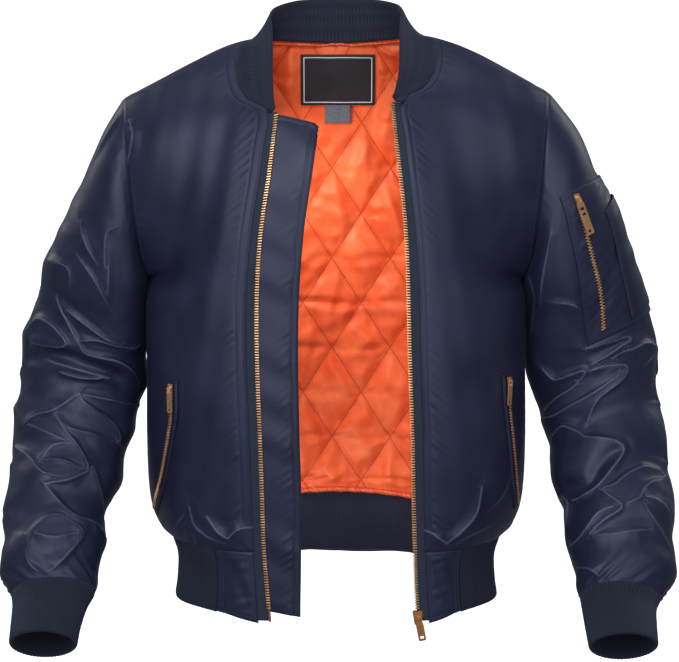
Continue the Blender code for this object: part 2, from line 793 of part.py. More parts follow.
def front_panel(side, finish, parts):
    """One front of the shell, from its zip edge to the side seam and armhole."""
    rows = np.arange(SHOULDER + 1, dtype=float)
    across = np.linspace(0.0, 1.0, FRONT_COLUMNS + 1)
    points, normals = shell_surface(side, rows, across)
    points = pulled_from_seams(side, points, rows, across)
    sheet(f"front_{side}", points, points - SHELL * normals, finish, parts)


def shell_surface(side, rows, across):
    """Points and normals of the shell on a grid."""
    grid_rows, grid_across = np.meshgrid(rows, across, indexing="ij")
    points = body(side, grid_rows, grid_across)
    normals = body_normal(side, grid_rows, grid_across)
    return points, normals


def pulled_from_seams(side, points, rows, across):
    """Moves the points on a seam half a gap back from it, within the cloth."""
    points = points.copy()
    if across[-1] >= 1.0:
        _, _, way = outer_seam(side, rows)
        points[:, -1] -= way * GAP / 2
    for index, row in enumerate(rows):
        if row == SHOULDER:
            small = 0.02
            ahead = body(side, row + small, across) - body(side, row - small, across)
            back_from = 1.0 if index == 0 else -1.0
            points[index] += back_from * unit(ahead) * GAP / 2
    return points


def both_halves(right, left, meeting):
    """One list of points and triangles from two halves whose first columns meet on some rows."""
    rows, columns = right.shape[:2]
    points = [*right.reshape(-1, 3), *left.reshape(-1, 3)]
    count = rows * columns
    right_ids = np.arange(count).reshape(rows, columns)
    left_ids = np.arange(count, 2 * count).reshape(rows, columns)
    left_ids[meeting, 0] = right_ids[meeting, 0]
    triangles = []
    for ids, turned in ((right_ids.ravel(), True), (left_ids.ravel(), False)):
        for corners in grid_triangles(rows, columns):
            a, b, c = (int(ids[corner]) for corner in corners)
            triangles.append((c, b, a) if turned else (a, b, c))
    return points, triangles


def back_panel(finish, parts):
    """The whole back of the shell in one piece, with the neckline cut into its top."""
    rows = np.array([*NECK_ROWS[4:], *range(NECK_BACK + 1, ROWS + 1)], float)
    across = np.linspace(0.0, 1.0, BACK_COLUMNS + 1)
    outside, inside = [], []
    for side in SIDES:
        points, normals = shell_surface(side, rows, across)
        points = pulled_from_seams(side, points, rows, across)
        below = points - SHELL * normals
        for index in np.flatnonzero(rows % 1):
            for grid in (points, below):
                grid[index, -1] = (grid[index - 1, -1] + grid[index + 1, -1]) / 2
        outside.append(points)
        inside.append(below)
    meeting = rows >= NECK_BACK
    outer_points, triangles = both_halves(*outside, meeting)
    inner_points, _ = both_halves(*inside, meeting)
    wall("back", outer_points, inner_points, triangles, finish, parts)


def sleeve_shell(side, finish, parts):
    """A one-piece sleeve from the armhole to the cuff seam."""
    turns = sleeve_turns(SLEEVE_COLUMNS)
    along = np.arange(2 * len(SLEEVE_RINGS[side]) + 1) / 2
    points = sleeve(side, along, turns)
    normals = sleeve_normals(side, along, turns)
    way = points[1] - points[0]
    way -= (way * normals[0]).sum(-1, keepdims=True) * normals[0]
    points[0] += unit(way) * GAP / 2
    inside = points - SHELL * normals
    sheet(f"sleeve_{side}", points, inside, finish, parts, around=True)


# ---------------------------------------------------------------- rib knit


def rib_wave(count):
    """Height of the ribs at each column: a ridge, then the dip beside it."""
    return RIB_HEIGHT * (np.arange(count) % 2)


def cuff(side, finish, parts):
    """A rib cuff on the end of a sleeve."""
    turns = sleeve_turns(2 * CUFF_RIBS)
    rings = np.stack([ring(side, row, turns) for row in CUFF_RINGS[side]])
    axis = unit(rings[-1].mean(axis=0) - rings[0].mean(axis=0))
    rings[0] += axis * GAP
    ahead = np.gradient(rings, axis=0)
    round_ = np.roll(rings, -1, axis=1) - np.roll(rings, 1, axis=1)
    normals = unit(np.cross(round_, ahead)) * SIDES[side]
    outside = rings + normals * rib_wave(len(turns))[None, :, None]
    inside = (rings - RIB_WALL * normals)[:, ::2]
    ribbed_wall(f"cuff_{side}", outside, inside, finish, parts, around=True)


def waist_path():
    """The waist seam, from the right zip edge round the back to the left zip edge."""
    share = np.linspace(0.0, 1.0, FRONT_COLUMNS + 1)
    right_front = body("right", 0.0, share)
    left_front = body("left", 0.0, share[::-1])
    share = np.linspace(0.0, 1.0, BACK_COLUMNS + 1)
    right_back = body("right", float(ROWS), share[::-1])
    left_back = body("left", float(ROWS), share)
    path = np.vstack([right_front, right_back[1:], left_back[1:], left_front[1:]])
    length = np.concatenate([[0.0], np.cumsum(np.linalg.norm(np.diff(path, axis=0), axis=1))])
    return path, length


def waistband_points(places, profile):
    """Points and outward normals of the band at places along the waist seam."""
    path, length = waist_path()
    top = np.stack([np.interp(places, length, path[:, axis]) for axis in range(3)], axis=-1)
    step = 0.004
    ahead = np.stack([np.interp(places + step, length, path[:, axis]) for axis in range(3)], -1)
    behind = np.stack([np.interp(places - step, length, path[:, axis]) for axis in range(3)], -1)
    along = ahead - behind
    outward = unit(np.stack([-along[:, 1], along[:, 0], 0 * along[:, 0]], axis=-1))
    way = np.minimum(places, length[-1] - places) / (length[-1] / 2)
    drop = through(BAND_DROP, way)[:, 0]
    shape = np.asarray(profile)
    points = (
        top[None]
        + outward[None] * shape[:, 1, None, None]
        - np.array([0.0, 0.0, 1.0]) * (GAP + shape[:, 0, None] * drop[None])[..., None]
    )
    return points, np.broadcast_to(outward, points.shape)


def end_panel_place(side):
    """How far along the waist seam the shell-cloth end of the band reaches."""
    path, length = waist_path()
    front = path[:, 1] < -0.02
    on_side = path[:, 0] * SIDES[side] > 0
    chosen = front & on_side
    order = np.argsort(np.abs(path[chosen, 0]))
    x = np.abs(path[chosen, 0])[order]
    return float(np.interp(END_PANEL_X[side], x, length[chosen][order]))


def waistband(shell, rib, parts):
    """The rib waistband, and the shell-cloth ends that carry the zip."""
    _, length = waist_path()
    right_end, left_end = end_panel_place("right"), end_panel_place("left")
    places = np.linspace(right_end + GAP, left_end - GAP, 2 * BAND_RIBS + 1)
    points, normals = waistband_points(places, BAND_PROFILE)
    outside = points + normals * rib_wave(len(places))[None, :, None]
    inside = (points - RIB_WALL * normals)[:, ::3]
    ribbed_wall("waistband", outside, inside, rib, parts)
    flat = [(share, 0.0) for share, _ in BAND_PROFILE]
    for side, start, end in (("right", 0.0, right_end), ("left", length[-1], left_end)):
        places = np.linspace(start, end, 5)
        share = np.linspace(0.0, 1.0, 5)
        plain, normals = waistband_points(places, flat)
        shaped, _ = waistband_points(places, BAND_PROFILE)
        points = plain + (shaped - plain) * smooth_step(share * 1.5 - 0.5)[None, :, None]
        top = band_edge(side, points[:1, :1, 2])
        slant = band_edge(side, points[:, :1, 2]) - top
        slant[..., 2] = 0.0
        points = points + slant * (1.0 - share)[None, :, None]
        sheet(f"waistband_end_{side}", points, points - SHELL * normals, shell, parts)


def band_edge(side, z):
    """Edge of the waistband beside the zip chain at heights z."""
    return zip_line(side, z) + np.array([SIDES[side] * ZIP_MARGIN, 0.0, 0.0])


def collar_points(columns, heights):
    """Points of the collar, from its right front end round the back to the left one."""
    rows = np.linspace(NECK_FRONT, NECK_BACK, 141)
    base, rim = [], []
    for side in SIDES:
        seam = centre_edge(side, NECK_ROWS)
        base.append(np.stack([np.interp(rows, NECK_ROWS, seam[:, axis]) for axis in range(3)], -1))
        rim.append(mirrored(side, through(COLLAR_RIM, rows)) + neck_shift(side, rows))
    base = np.vstack([base[0], base[1][::-1][1:]])
    rim = np.vstack([rim[0], rim[1][::-1][1:]])
    length = np.concatenate([[0.0], np.cumsum(np.linalg.norm(np.diff(base, axis=0), axis=1))])
    places = np.linspace(0.0, length[-1], columns)
    start = np.stack([np.interp(places, length, base[:, axis]) for axis in range(3)], -1)
    end = np.stack([np.interp(places, length, rim[:, axis]) for axis in range(3)], -1)
    reach = end - start
    level = np.linalg.norm(reach[:, :2], axis=1)
    turn_up = np.stack([0 * level, 0 * level, 0.7 * level], axis=-1)
    t = np.asarray(heights, float)[:, None, None]
    return (
        (2 * t**3 - 3 * t**2 + 1) * start
        + (t**3 - 2 * t**2 + t) * (reach - turn_up)
        + (3 * t**2 - 2 * t**3) * end
        + (t**3 - t**2) * (reach + turn_up)
    )


def collar(finish, parts):
    """A standing rib collar that narrows to its front ends."""
    columns = 2 * COLLAR_RIBS + 1
    heights = np.array([0.0, 0.35, 0.7, 1.0])
    points = collar_points(columns, heights)
    along = np.gradient(points, axis=1)
    up = np.gradient(points, axis=0)
    normals = unit(np.cross(along, up))
    points = points.copy()
    points[0] += unit(up[0]) * GAP
    outside = points + normals * rib_wave(columns)[None, :, None] * (heights > 0)[:, None, None]
    inside = (points - RIB_WALL * normals)[:, ::2]
    ribbed_wall("collar", outside, inside, finish, parts)


# ---------------------------------------------------------------- quilted linings


def share_across(side, row, share):
    """The share across the body that lies a given share of the way by length."""
    steps = np.linspace(0.0, 1.0, 41)
    line = body(side, row, steps)
    length = np.concatenate([[0.0], np.cumsum(np.linalg.norm(np.diff(line, axis=0), axis=1))])
    return float(np.interp(share * length[-1], length, steps))


def quilted(name, spots, loop, sewn, finish, parts):
    """A lining over its spots: side, row, across, flat x and y, and what each one is."""
    flat = [(spot[3], spot[4]) for spot in spots]
    triangles = triangulated(flat, [loop], sewn)
    hidden, seen = [], []
    for side, row, across, _, _, kind in spots:
        point = body(side, row, across)
        normal = body_normal(side, row, across)
        depth = {"edge": LINING_SEAM_DEPTH, "near": LINING_NEAR_DEPTH}.get(kind, LINING_DEPTH)
        low = min(row, 2 * SHOULDER - row)
        if across >= 1.0:
            _, _, way = outer_seam(side, row)
            point = point - way * GAP / 2
        if across >= 1.0 and UNDERARM - 2 < low < UNDERARM + 3:
            depth = LINING_NEAR_DEPTH
            normal = mirrored(side, np.array([1.0, 0.0, 0.0]))
            if low > UNDERARM:
                normal = body_normal(side, row, 0.96)
                depth = depth + 0.0014
        if row == SHOULDER:
            ahead = unit(body(side, row + 0.02, across) - body(side, row - 0.02, across))
            point = point + ahead * GAP / 2 * (1.0 if name == "lining_back" else -1.0)
        hidden.append(point - depth * normal)
        raised = PUFF if kind == "puff" else 0.0
        seen.append(point - (depth + LINING + raised) * normal)
    return wall(name, hidden, seen, triangles, finish, parts)


def armpit_lines(block):
    """Lines that fold a lining at the armpit just as the shell over it is folded."""
    lines = []
    for (row, column), spot in block.items():
        for step in ((0, 1), (1, 0), (1, 1)):
            other = block.get((row + step[0], column + step[1]))
            if other is not None:
                lines.append((spot, other))
    return lines


def quilt_rows():
    """Rows of the back where the diamonds' corners and middles lie."""
    rows = np.linspace(NECK_BACK, ROWS, 400)
    heights = through(CENTRE_BACK, rows)[:, 2]
    levels = QUILT_TOP - QUILT_STEP * np.arange(12)
    levels = levels[levels > heights[-1] + 0.4 * QUILT_STEP]
    return [22.4, *np.interp(-levels, -heights, rows)]


def neck_share(row):
    """Half width of the neckline on the flat plan of the back lining."""
    return 0.35 * max(NECK_BACK - row, 0.0) / (NECK_BACK - SHOULDER)


def back_lining(finish, parts):
    """Lining of the back, quilted in upright diamonds, from the neck to the waistband."""
    tall, wide = 0.0283, 0.29
    spots, loop = [], []

    def add(side, row, share, kind, across=None):
        if across is None:
            across = share_across(side, row, share)
        opening = neck_share(row)
        flat_x = SIDES[side] * (opening + share * (1 - opening)) * wide
        spots.append((side, row, across, flat_x, -row * tall, kind))
        return len(spots) - 1

    rows = [float(row) for row in range(SHOULDER, ROWS + 1)]
    half = [(row, 0.02) for row in (23.5, 23.0, 22.5, 22.0)]
    shares = np.linspace(0.0, 1.0, BACK_COLUMNS + 1)
    loop.append(add("right", NECK_BACK + 0.06, 0.0, "edge", 0.0))
    for row, share in half:
        loop.append(add("right", row, share, "edge", share))
    for share in shares[1:-1]:
        loop.append(add("right", float(SHOULDER), share, "edge", share))
    armpits = {"right": {}, "left": {}}
    for row in rows:
        loop.append(add("right", row, 1.0, "edge", 1.0))
        if abs(row - BACK_UNDERARM) <= ARMPIT_ROWS:
            armpits["right"][row, BACK_COLUMNS] = loop[-1]
    for share in shares[-2:0:-1]:
        loop.append(add("right", float(ROWS), share, "edge", share))
    for share in shares[:-1]:
        loop.append(add("left", float(ROWS), share, "edge", share))
    for row in reversed(rows):
        loop.append(add("left", row, 1.0, "edge", 1.0))
        if abs(row - BACK_UNDERARM) <= ARMPIT_ROWS:
            armpits["left"][row, BACK_COLUMNS] = loop[-1]
    for share in shares[-2:0:-1]:
        loop.append(add("left", float(SHOULDER), share, "edge", share))
    for row, share in reversed(half):
        loop.append(add("left", row, share, "edge", share))
    for side, block in armpits.items():
        for row, _ in list(block):
            for column in (BACK_COLUMNS - 3, BACK_COLUMNS - 2, BACK_COLUMNS - 1):
                across = column / BACK_COLUMNS
                block[row, column] = add(side, row, across, "near", across)
    inner = {}
    for level, row in enumerate(quilt_rows()):
        near = abs(row - BACK_UNDERARM) < ARMPIT_ROWS + 0.5
        last = QUILT_COLUMNS - 2 if near else QUILT_COLUMNS
        for column in range(1 - last, last):
            place = column / QUILT_COLUMNS + QUILT_SHIFT
            side = "right" if place < 0 else "left"
            opening = neck_share(row)
            share = (abs(place) - opening) / (1 - opening)
            if share < 0.06 and opening > 0:
                continue
            high = (level + column) % 2 == 0
            bare = abs(place) < 0.22 and row < 27.2
            kind = "puff" if high and not bare else "sewn"
            inner[level, column] = add(side, row, share, kind)
    sewn = armpit_lines(armpits["right"]) + armpit_lines(armpits["left"])
    for (level, column), spot in inner.items():
        step = 1 if (level + column) % 2 else 0
        near = inner.get((level, column + 1))
        below = inner.get((level + 1, column))
        corner = inner.get((level + 1, column + 1))
        if step and corner is not None:
            sewn.append((spot, corner))
        if not step and near is not None and below is not None:
            sewn.append((near, below))
    return quilted("lining_back", spots, loop, sewn, finish, parts)


def front_lining(side, finish, parts):
    """Lining of one front, from beside the zip tape to the side seam and armhole."""
    tall, wide = 0.0283, 0.19
    spots, loop = [], []

    def add(row, across, kind):
        spots.append((side, row, across, across * wide, row * tall, kind))
        return len(spots) - 1

    def inner_edge(row):
        edge = np.linalg.norm(body(side, row, 0.1) - body(side, row, 0.0))
        return 0.1 * LINING_FROM_ZIP / edge

    shares = np.linspace(0.0, 1.0, FRONT_COLUMNS + 1)
    loop.append(add(0.0, inner_edge(0.0), "edge"))
    loop += [add(0.0, share, "edge") for share in shares[1:]]
    armpit = {}
    for row in range(1, SHOULDER + 1):
        loop.append(add(float(row), 1.0, "edge"))
        if abs(row - UNDERARM) <= ARMPIT_ROWS:
            armpit[row, FRONT_COLUMNS] = loop[-1]
    loop += [add(float(SHOULDER), share, "edge") for share in shares[-2:0:-1]]
    loop += [add(float(row), 0.02, "edge") for row in (21, 20, 19)]
    loop.append(add(18.0, 0.03, "near"))
    loop.append(add(17.0, inner_edge(17.0), "near"))
    loop += [add(float(row), inner_edge(float(row)), "near") for row in range(16, 0, -1)]
    for row, _ in list(armpit):
        for column in (FRONT_COLUMNS - 3, FRONT_COLUMNS - 2, FRONT_COLUMNS - 1):
            armpit[row, column] = add(float(row), column / FRONT_COLUMNS, "near")
    inner = {}
    levels = np.arange(1.5, SHOULDER - 0.5, 2.0)
    for level, row in enumerate(levels):
        start = inner_edge(row) if row < NECK_FRONT else 0.02
        near = abs(row - UNDERARM) < ARMPIT_ROWS + 0.5
        for column in range(1, FRONT_QUILT_COLUMNS - 2 if near else FRONT_QUILT_COLUMNS):
            across = start + (1 - start) * column / FRONT_QUILT_COLUMNS
            kind = "sewn" if (level + column) % 2 else "puff"
            inner[level, column] = add(row, across, kind)
    sewn = armpit_lines(armpit)
    for (level, column), spot in inner.items():
        near = inner.get((level, column + 1))
        below = inner.get((level + 1, column))
        corner = inner.get((level + 1, column + 1))
        if (level + column) % 2 and corner is not None:
            sewn.append((spot, corner))
        if (level + column) % 2 == 0 and near is not None and below is not None:
            sewn.append((near, below))
    return quilted(f"lining_front_{side}", spots, loop, sewn, finish, parts)


def label(name, under, box, finish, parts):
    """A woven label lying on the lining, sewn down along its edge."""
    tree = BVHTree.FromPolygons(
        [vertex.co for vertex in under.data.vertices],
        [tuple(face.vertices) for face in under.data.polygons],
    )
    middle, top, width, height = box
    grid = []
    for z in np.linspace(top, top - height, 4):
        line = []
        for x in np.linspace(middle - width / 2, middle + width / 2, 6):
            hit = tree.ray_cast(Vector((x, -0.2, z)), Vector((0.0, 1.0, 0.0)))[0]
            line.append((x, hit.y - LABEL_LIFT, z))
        grid.append(line)
    back = np.array(grid)
    sheet(name, back - np.array([0.0, LABEL_CLOTH, 0.0]), back, finish, parts)


# ---------------------------------------------------------------- front zip


def zip_sections(side, bottom, top_drop=0.002):
    """Points down the middle of the chain from the bottom up, with the outward and facing ways."""
    rows = np.arange(NECK_FRONT + 1, dtype=float)
    edge = body(side, rows, 0.0)
    away = unit(body(side, rows, 1.0 / FRONT_COLUMNS) - edge)
    heights = np.linspace(bottom, -0.6130, 4)
    edge = np.vstack([band_edge(side, heights), edge])
    away = np.vstack([np.repeat(away[:1], 4, axis=0), away])
    middle = edge - ZIP_MARGIN * away
    run = np.gradient(middle, axis=0)
    facing = unit(np.cross(away, run)) * SIDES[side]
    middle[-1] -= unit(run[-1]) * top_drop
    return middle, away, facing


def strip(name, sections, start, end, depth, thickness, finish, parts):
    """A long strip beside the chain, between two distances from it."""
    middle, away, facing = sections
    edges = np.stack([middle + away * start, middle + away * end], axis=1)
    outside = edges - facing[:, None] * depth
    inside = outside - facing[:, None] * thickness
    return sheet(name, outside, inside, finish, parts)


def wind_flap(finish, parts):
    """The storm flap sewn behind the right half of the zip, with a rounded top corner."""
    middle, away, facing = zip_sections("right", -0.6700, top_drop=0.0045)
    width = through(FLAP_WIDTH, middle[:, 2])[:, 0]
    shares = np.array([-1.0, 0.0, 0.55, 0.9, 1.0])
    outside = []
    for share in shares:
        reach = FLAP_ROOT if share < 0 else 0.0
        offset = away * (reach - np.maximum(share, 0.0) * width[:, None])
        depth = FLAP_DEPTH + 0.003 * max(share, 0.0) ** 2
        depth = depth + 0.0012 * (share == 0.0) * (middle[:, 2:] < -0.64)
        line = middle + offset - facing * depth
        line[0, 2] -= 0.006 * max(share, 0.0)
        line[-1, 2] -= 0.010 * max(share, 0.0) + 0.006 * (share == 1.0)
        outside.append(line)
    outside = np.stack(outside, axis=1)
    inside = outside - facing[:, None] * RIB_WALL
    sheet("wind_flap", outside, inside, finish, parts)


def bridge_loop(base, length):
    """Outline, seen from the side, of the loop on a slider that carries its pull."""
    half = length / 2
    top = base + 2 * AXIS
    return [
        (-half - 0.0010, base - 0.0004),
        (-half, base - 0.0004),
        (-half, top),
        (half, top),
        (half, base - 0.0004),
        (half + 0.0010, base - 0.0004),
        (half + 0.0010, top + 0.0004),
        (half + 0.0004, top + 0.0010),
        (-half - 0.0004, top + 0.0010),
        (-half - 0.0010, top + 0.0004),
    ]


def slider(name, base, width, length, bridge, finish, parts, helpers):
    """A slider's top plate from its base up, with the loop for the pull."""
    outline = rounded(width, -length / 2, length / 2, 0.0016, taper=width * 0.22)
    body_plate = plate(name, [outline], base, base + SLIDER, finish, parts)
    top = base + SLIDER
    loop = plate(
        f"{name}_loop", [bridge_loop(top, 0.0026)], -bridge / 2, bridge / 2, finish, parts, True
    )
    joined(body_plate, loop, helpers)
    return body_plate, loop


def pull(name, width, length, window, slots, finish, parts):
    """A flat pull hanging down from its crossbar, which is on the hinge axis."""
    head = window + 0.0030
    outline = [
        (-head / 2, 0.0006),
        (-head / 2, -0.0052),
        (-width / 2, -0.0075),
        (-width / 2, 0.0014 - length),
        (0.0014 - width / 2, -length),
        (width / 2 - 0.0014, -length),
        (width / 2, 0.0014 - length),
        (width / 2, -0.0075),
        (head / 2, -0.0052),
        (head / 2, 0.0006),
    ]
    holes = [box_outline(-window / 2, window / 2, -0.0052, -0.0006)[::-1]]
    for low, high, across in slots:
        holes.append(box_outline(-across / 2, across / 2, low, high)[::-1])
    return plate(name, [outline, *holes], -PULL / 2, PULL / 2, finish, parts)


def main_zip(side, tape, gold, parts):
    """Half of the front zip: the cloth tape and the row of teeth on its edge."""
    sections = zip_sections(side, -0.6640)
    begin = CHAIN_WIDTH / 2 + 0.0003
    strip(
        f"zip_tape_{side}", sections, begin, begin + TAPE_WIDTH, TAPE_DEPTH, TAPE, tape, parts
    )
    half = CHAIN_WIDTH / 2
    strip(f"zip_chain_{side}", sections, -half, half, CHAIN_DEPTH, CHAIN, gold, parts)
    return sections


def main_slider(gold, parts, helpers):
    """The slider at the foot of the left half of the zip, with its pull."""
    middle = zip_line("left", -0.6762)
    facing = zip_sections("left", -0.6640)[2][0]
    ahead = zip_line("left", -0.6700) - zip_line("left", -0.6800)
    across, up, normal = standing(facing, ahead)
    made, loop = slider("main_slider", -0.0004, 0.0110, 0.0170, 0.0030, gold, parts, helpers)
    outline = rounded(0.0110, -0.0085, 0.0085, 0.0016, taper=0.0024)
    lower = plate("main_slider_lower", [outline], -0.0048, -0.0034, gold, parts)
    post = plate(
        "main_slider_post",
        [box_outline(-0.0015, 0.0015, 0.0020, 0.0080)],
        -0.0038,
        0.0,
        gold,
        parts,
    )
    joined(made, lower, helpers)
    joined(made, post, helpers)
    for piece in (made, loop, lower, post):
        placed(piece, middle, across, up, normal)
    hanging = pull("main_pull", 0.0090, 0.0270, 0.0046, [(-0.0245, -0.0215, 0.0040)], gold, parts)
    axis = middle + normal * (-0.0004 + SLIDER + AXIS)
    end = axis + np.array([0.0052, 0.0, -0.0260])
    placed(hanging, axis, *standing(normal, axis - end))


# ---------------------------------------------------------------- pockets


def hand_pocket(side, tape, gold, parts, helpers):
    """A zipped hand pocket: the welt, the zip in it, and its slider and pull."""
    places = np.array(POCKETS[side])
    count = np.linspace(0.0, len(places) - 1.0, 9)
    steps = np.arange(len(places), dtype=float)
    places = np.stack([np.interp(count, steps, places[:, axis]) for axis in range(2)], axis=-1)
    middle = np.array([body(side, row, across) for row, across in places])
    run = unit(np.gradient(middle, axis=0))
    grids = {"welt": [], "chain": []}
    normals = {"welt": [], "chain": []}
    for index, (row, across) in enumerate(places):
        facing = body_normal(side, row, across)
        sideways = unit(np.cross(run[index], facing))
        for kind, width in (("welt", WELT_WIDTH), ("chain", CHAIN_WIDTH)):
            points, ways = [], []
            for shift in (-0.5, 0.0, 0.5):
                lengthways = 0.0
                if kind == "welt" and index == 0:
                    lengthways = -0.008
                if kind == "welt" and index == len(places) - 1:
                    lengthways = 0.004
                moved = sideways * shift * width + run[index] * lengthways
                spot = on_body(side, row, across, moved)
                points.append(body(side, *spot))
                ways.append(body_normal(side, *spot))
            grids[kind].append(points)
            normals[kind].append(ways)
    low = WELT_LIFT
    for kind, thickness, finish in (("welt", WELT, tape), ("chain", WELT, gold)):
        points, ways = np.array(grids[kind]), np.array(normals[kind])
        inside = points + ways * low
        sheet(f"pocket_{kind}_{side}", inside + ways * thickness, inside, finish, parts)
        low += thickness + GAP
    base = low + 0.0002
    row, across = POCKETS[side][0]
    point = body(side, row, across)
    axes = standing(body_normal(side, row, across), -run[0])
    name = f"pocket_slider_{side}"
    made, loop = slider(name, base, 0.0076, 0.0105, 0.0020, gold, parts, helpers)
    for piece in (made, loop):
        placed(piece, point, *axes)
    row, across, width = POCKET_PULL[side]
    axis = point + axes[2] * (base + SLIDER + AXIS)
    end = body(side, row, across)
    length = 0.0285
    name = f"pocket_pull_{side}"
    hanging = pull(name, width, length, 0.0044, [(-0.0262, -0.0236, 0.0036)], gold, parts)
    placed(hanging, axis, *standing(axes[2], point - end))


def sleeve_patch(navy, parts):
    """The patch of the utility pocket, laid over the left sleeve."""
    shares = np.linspace(0.0, 1.0, 13)
    top, bottom = through(PATCH_TOP, shares), through(PATCH_BOTTOM, shares)
    down = np.linspace(0.0, 1.0, 10)[:, None, None]
    places = top * (1 - down) + bottom * down
    points, normals = sleeve_spots("left", places[..., 0], places[..., 1])
    inside = points + normals * PATCH_LIFT
    sheet("sleeve_patch", inside + normals * PATCH, inside, navy, parts)


def pen_pocket(navy, parts):
    """The pen pocket on the outer side of the patch, open at its top."""
    down = np.linspace(0.0, 1.0, 8)[:, None]
    over = np.linspace(0.0, 1.0, 5)[None, :]
    along = PEN_TOP[0] + (PEN_BOTTOM[0] - PEN_TOP[0]) * down + 0.0 * over
    front = PEN_TOP[1] + (PEN_BOTTOM[1] - PEN_TOP[1]) * down
    back = PEN_TOP[2] + (PEN_BOTTOM[2] - PEN_TOP[2]) * down
    points, normals = sleeve_spots("left", along, front + (back - front) * over)
    bulge = 0.0022 * np.sin(math.pi * over) * (1.0 - down)
    lift = PATCH_LIFT + PATCH + 2 * GAP + bulge[..., None]
    inside = points + normals * lift
    sheet("pen_pocket", inside + normals * PATCH, inside, navy, parts)


def sleeve_zip(gold, parts, helpers):
    """The zip of the utility pocket, with its slider and long pull."""
    table = np.array(SLEEVE_ZIP)
    points, normals = sleeve_spots("left", table[:, 0], table[:, 1])
    run = unit(np.gradient(points, axis=0))
    sideways = unit(np.cross(run, normals)) * CHAIN_WIDTH / 2
    lift = PATCH_LIFT + PATCH + GAP
    inside = np.stack([points - sideways, points + sideways], axis=1)
    inside += normals[:, None] * lift
    outside = inside + normals[:, None] * WELT
    sheet("sleeve_chain", outside, inside, gold, parts)
    base = lift + WELT + 0.0005
    axes = standing(normals[0], -run[0])
    made, loop = slider("sleeve_slider", base, 0.0076, 0.0105, 0.0020, gold, parts, helpers)
    for piece in (made, loop):
        placed(piece, points[0], *axes)
    end, _ = sleeve_spots("left", [SLEEVE_PULL_END[0]], [SLEEVE_PULL_END[1]])
    slots = [(-0.0150, -0.0115, 0.0056), (-0.0215, -0.0180, 0.0056), (-0.0425, -0.0395, 0.0036)]
    hanging = pull("sleeve_pull", 0.0105, 0.0450, 0.0044, slots, gold, parts)
    axis = points[0] + axes[2] * (base + SLIDER + AXIS)
    placed(hanging, axis, *standing(axes[2], points[0] - end[0]))


# ---------------------------------------------------------------- the jacket


def zip_pin(gold, parts):
    """The pin at the foot of the right half of the zip."""
    low, high = zip_line("right", -0.6810), zip_line("right", -0.6645)
    circle = [
        (0.0015 * math.cos(step * math.pi / 6), 0.0015 * math.sin(step * math.pi / 6))
        for step in range(12)
    ]
    length = float(np.linalg.norm(high - low))
    pin = plate("zip_pin", [circle], 0.0, length, gold, parts)
    along = unit(high - low)
    facing = unit(np.cross(np.cross(along, [0.0, -1.0, 0.0]), along))
    point = low - facing * (CHAIN_DEPTH + CHAIN / 2)
    placed(pin, point, np.cross(facing, along), facing, along)


def main():
    """Builds every piece of the jacket."""
    for old in list(bpy.data.objects):
        bpy.data.objects.remove(old, do_unlink=True)
    parts = bpy.data.collections.new("bomber_jacket")
    helpers = bpy.data.collections.new("helpers")
    bpy.context.scene.collection.children.link(parts)
    bpy.context.scene.collection.children.link(helpers)
    navy = material("navy_nylon", (0.020, 0.024, 0.045), 0.38)
    rib = material("navy_rib", (0.013, 0.016, 0.032), 0.9)
    orange = material("orange_lining", (0.80, 0.13, 0.035), 0.45)
    tape = material("zip_tape", (0.016, 0.035, 0.060), 0.8)
    gold = material("gold_metal", (0.72, 0.38, 0.14), 0.28, 1.0)
    black = material("black_label", (0.010, 0.010, 0.012), 0.6)
    grey = material("grey_label", (0.120, 0.130, 0.150), 0.7)
    back_panel(navy, parts)
    waistband(navy, rib, parts)
    collar(rib, parts)
    lining = back_lining(orange, parts)
    label("label_main", lining, LABEL, black, parts)
    label("label_size", lining, SIZE_LABEL, grey, parts)
    for side in SIDES:
        front_panel(side, navy, parts)
        front_lining(side, orange, parts)
        sleeve_shell(side, navy, parts)
        cuff(side, rib, parts)
        main_zip(side, tape, gold, parts)
        hand_pocket(side, tape, gold, parts, helpers)
    wind_flap(navy, parts)
    zip_pin(gold, parts)
    main_slider(gold, parts, helpers)
    sleeve_patch(navy, parts)
    pen_pocket(navy, parts)
    sleeve_zip(gold, parts, helpers)


main()
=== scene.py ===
import math

import bpy
import numpy as np
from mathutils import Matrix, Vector


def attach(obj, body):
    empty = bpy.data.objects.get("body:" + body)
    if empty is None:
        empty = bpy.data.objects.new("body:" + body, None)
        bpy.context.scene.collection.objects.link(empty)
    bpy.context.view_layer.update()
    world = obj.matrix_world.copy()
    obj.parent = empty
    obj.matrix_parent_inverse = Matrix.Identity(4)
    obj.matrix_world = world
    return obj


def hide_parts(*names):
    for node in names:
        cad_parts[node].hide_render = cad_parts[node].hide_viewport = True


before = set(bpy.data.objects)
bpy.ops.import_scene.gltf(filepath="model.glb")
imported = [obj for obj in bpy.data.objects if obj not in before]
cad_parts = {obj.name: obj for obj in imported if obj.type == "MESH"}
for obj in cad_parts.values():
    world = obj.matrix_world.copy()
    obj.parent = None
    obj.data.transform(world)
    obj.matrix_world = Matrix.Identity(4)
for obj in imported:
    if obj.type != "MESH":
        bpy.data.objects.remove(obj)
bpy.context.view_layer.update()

# ---------------------------------------------------------------------------
# Camera, pale floor with its backdrop, and soft studio light.
# The jacket is shown filled out, as on a figure, so nothing stands on the floor.
camera = bpy.data.objects.new("camera", bpy.data.cameras.new("camera"))
bpy.context.collection.objects.link(camera)
camera.location = (0.004, -2.38834, -0.11672)
camera.rotation_euler = (math.radians(84.35), 0, 0)
camera.data.sensor_width = 36
camera.data.lens = 105.614
camera.data.clip_end = 60
bpy.context.scene.camera = camera
bpy.context.scene.view_settings.view_transform = "Standard"


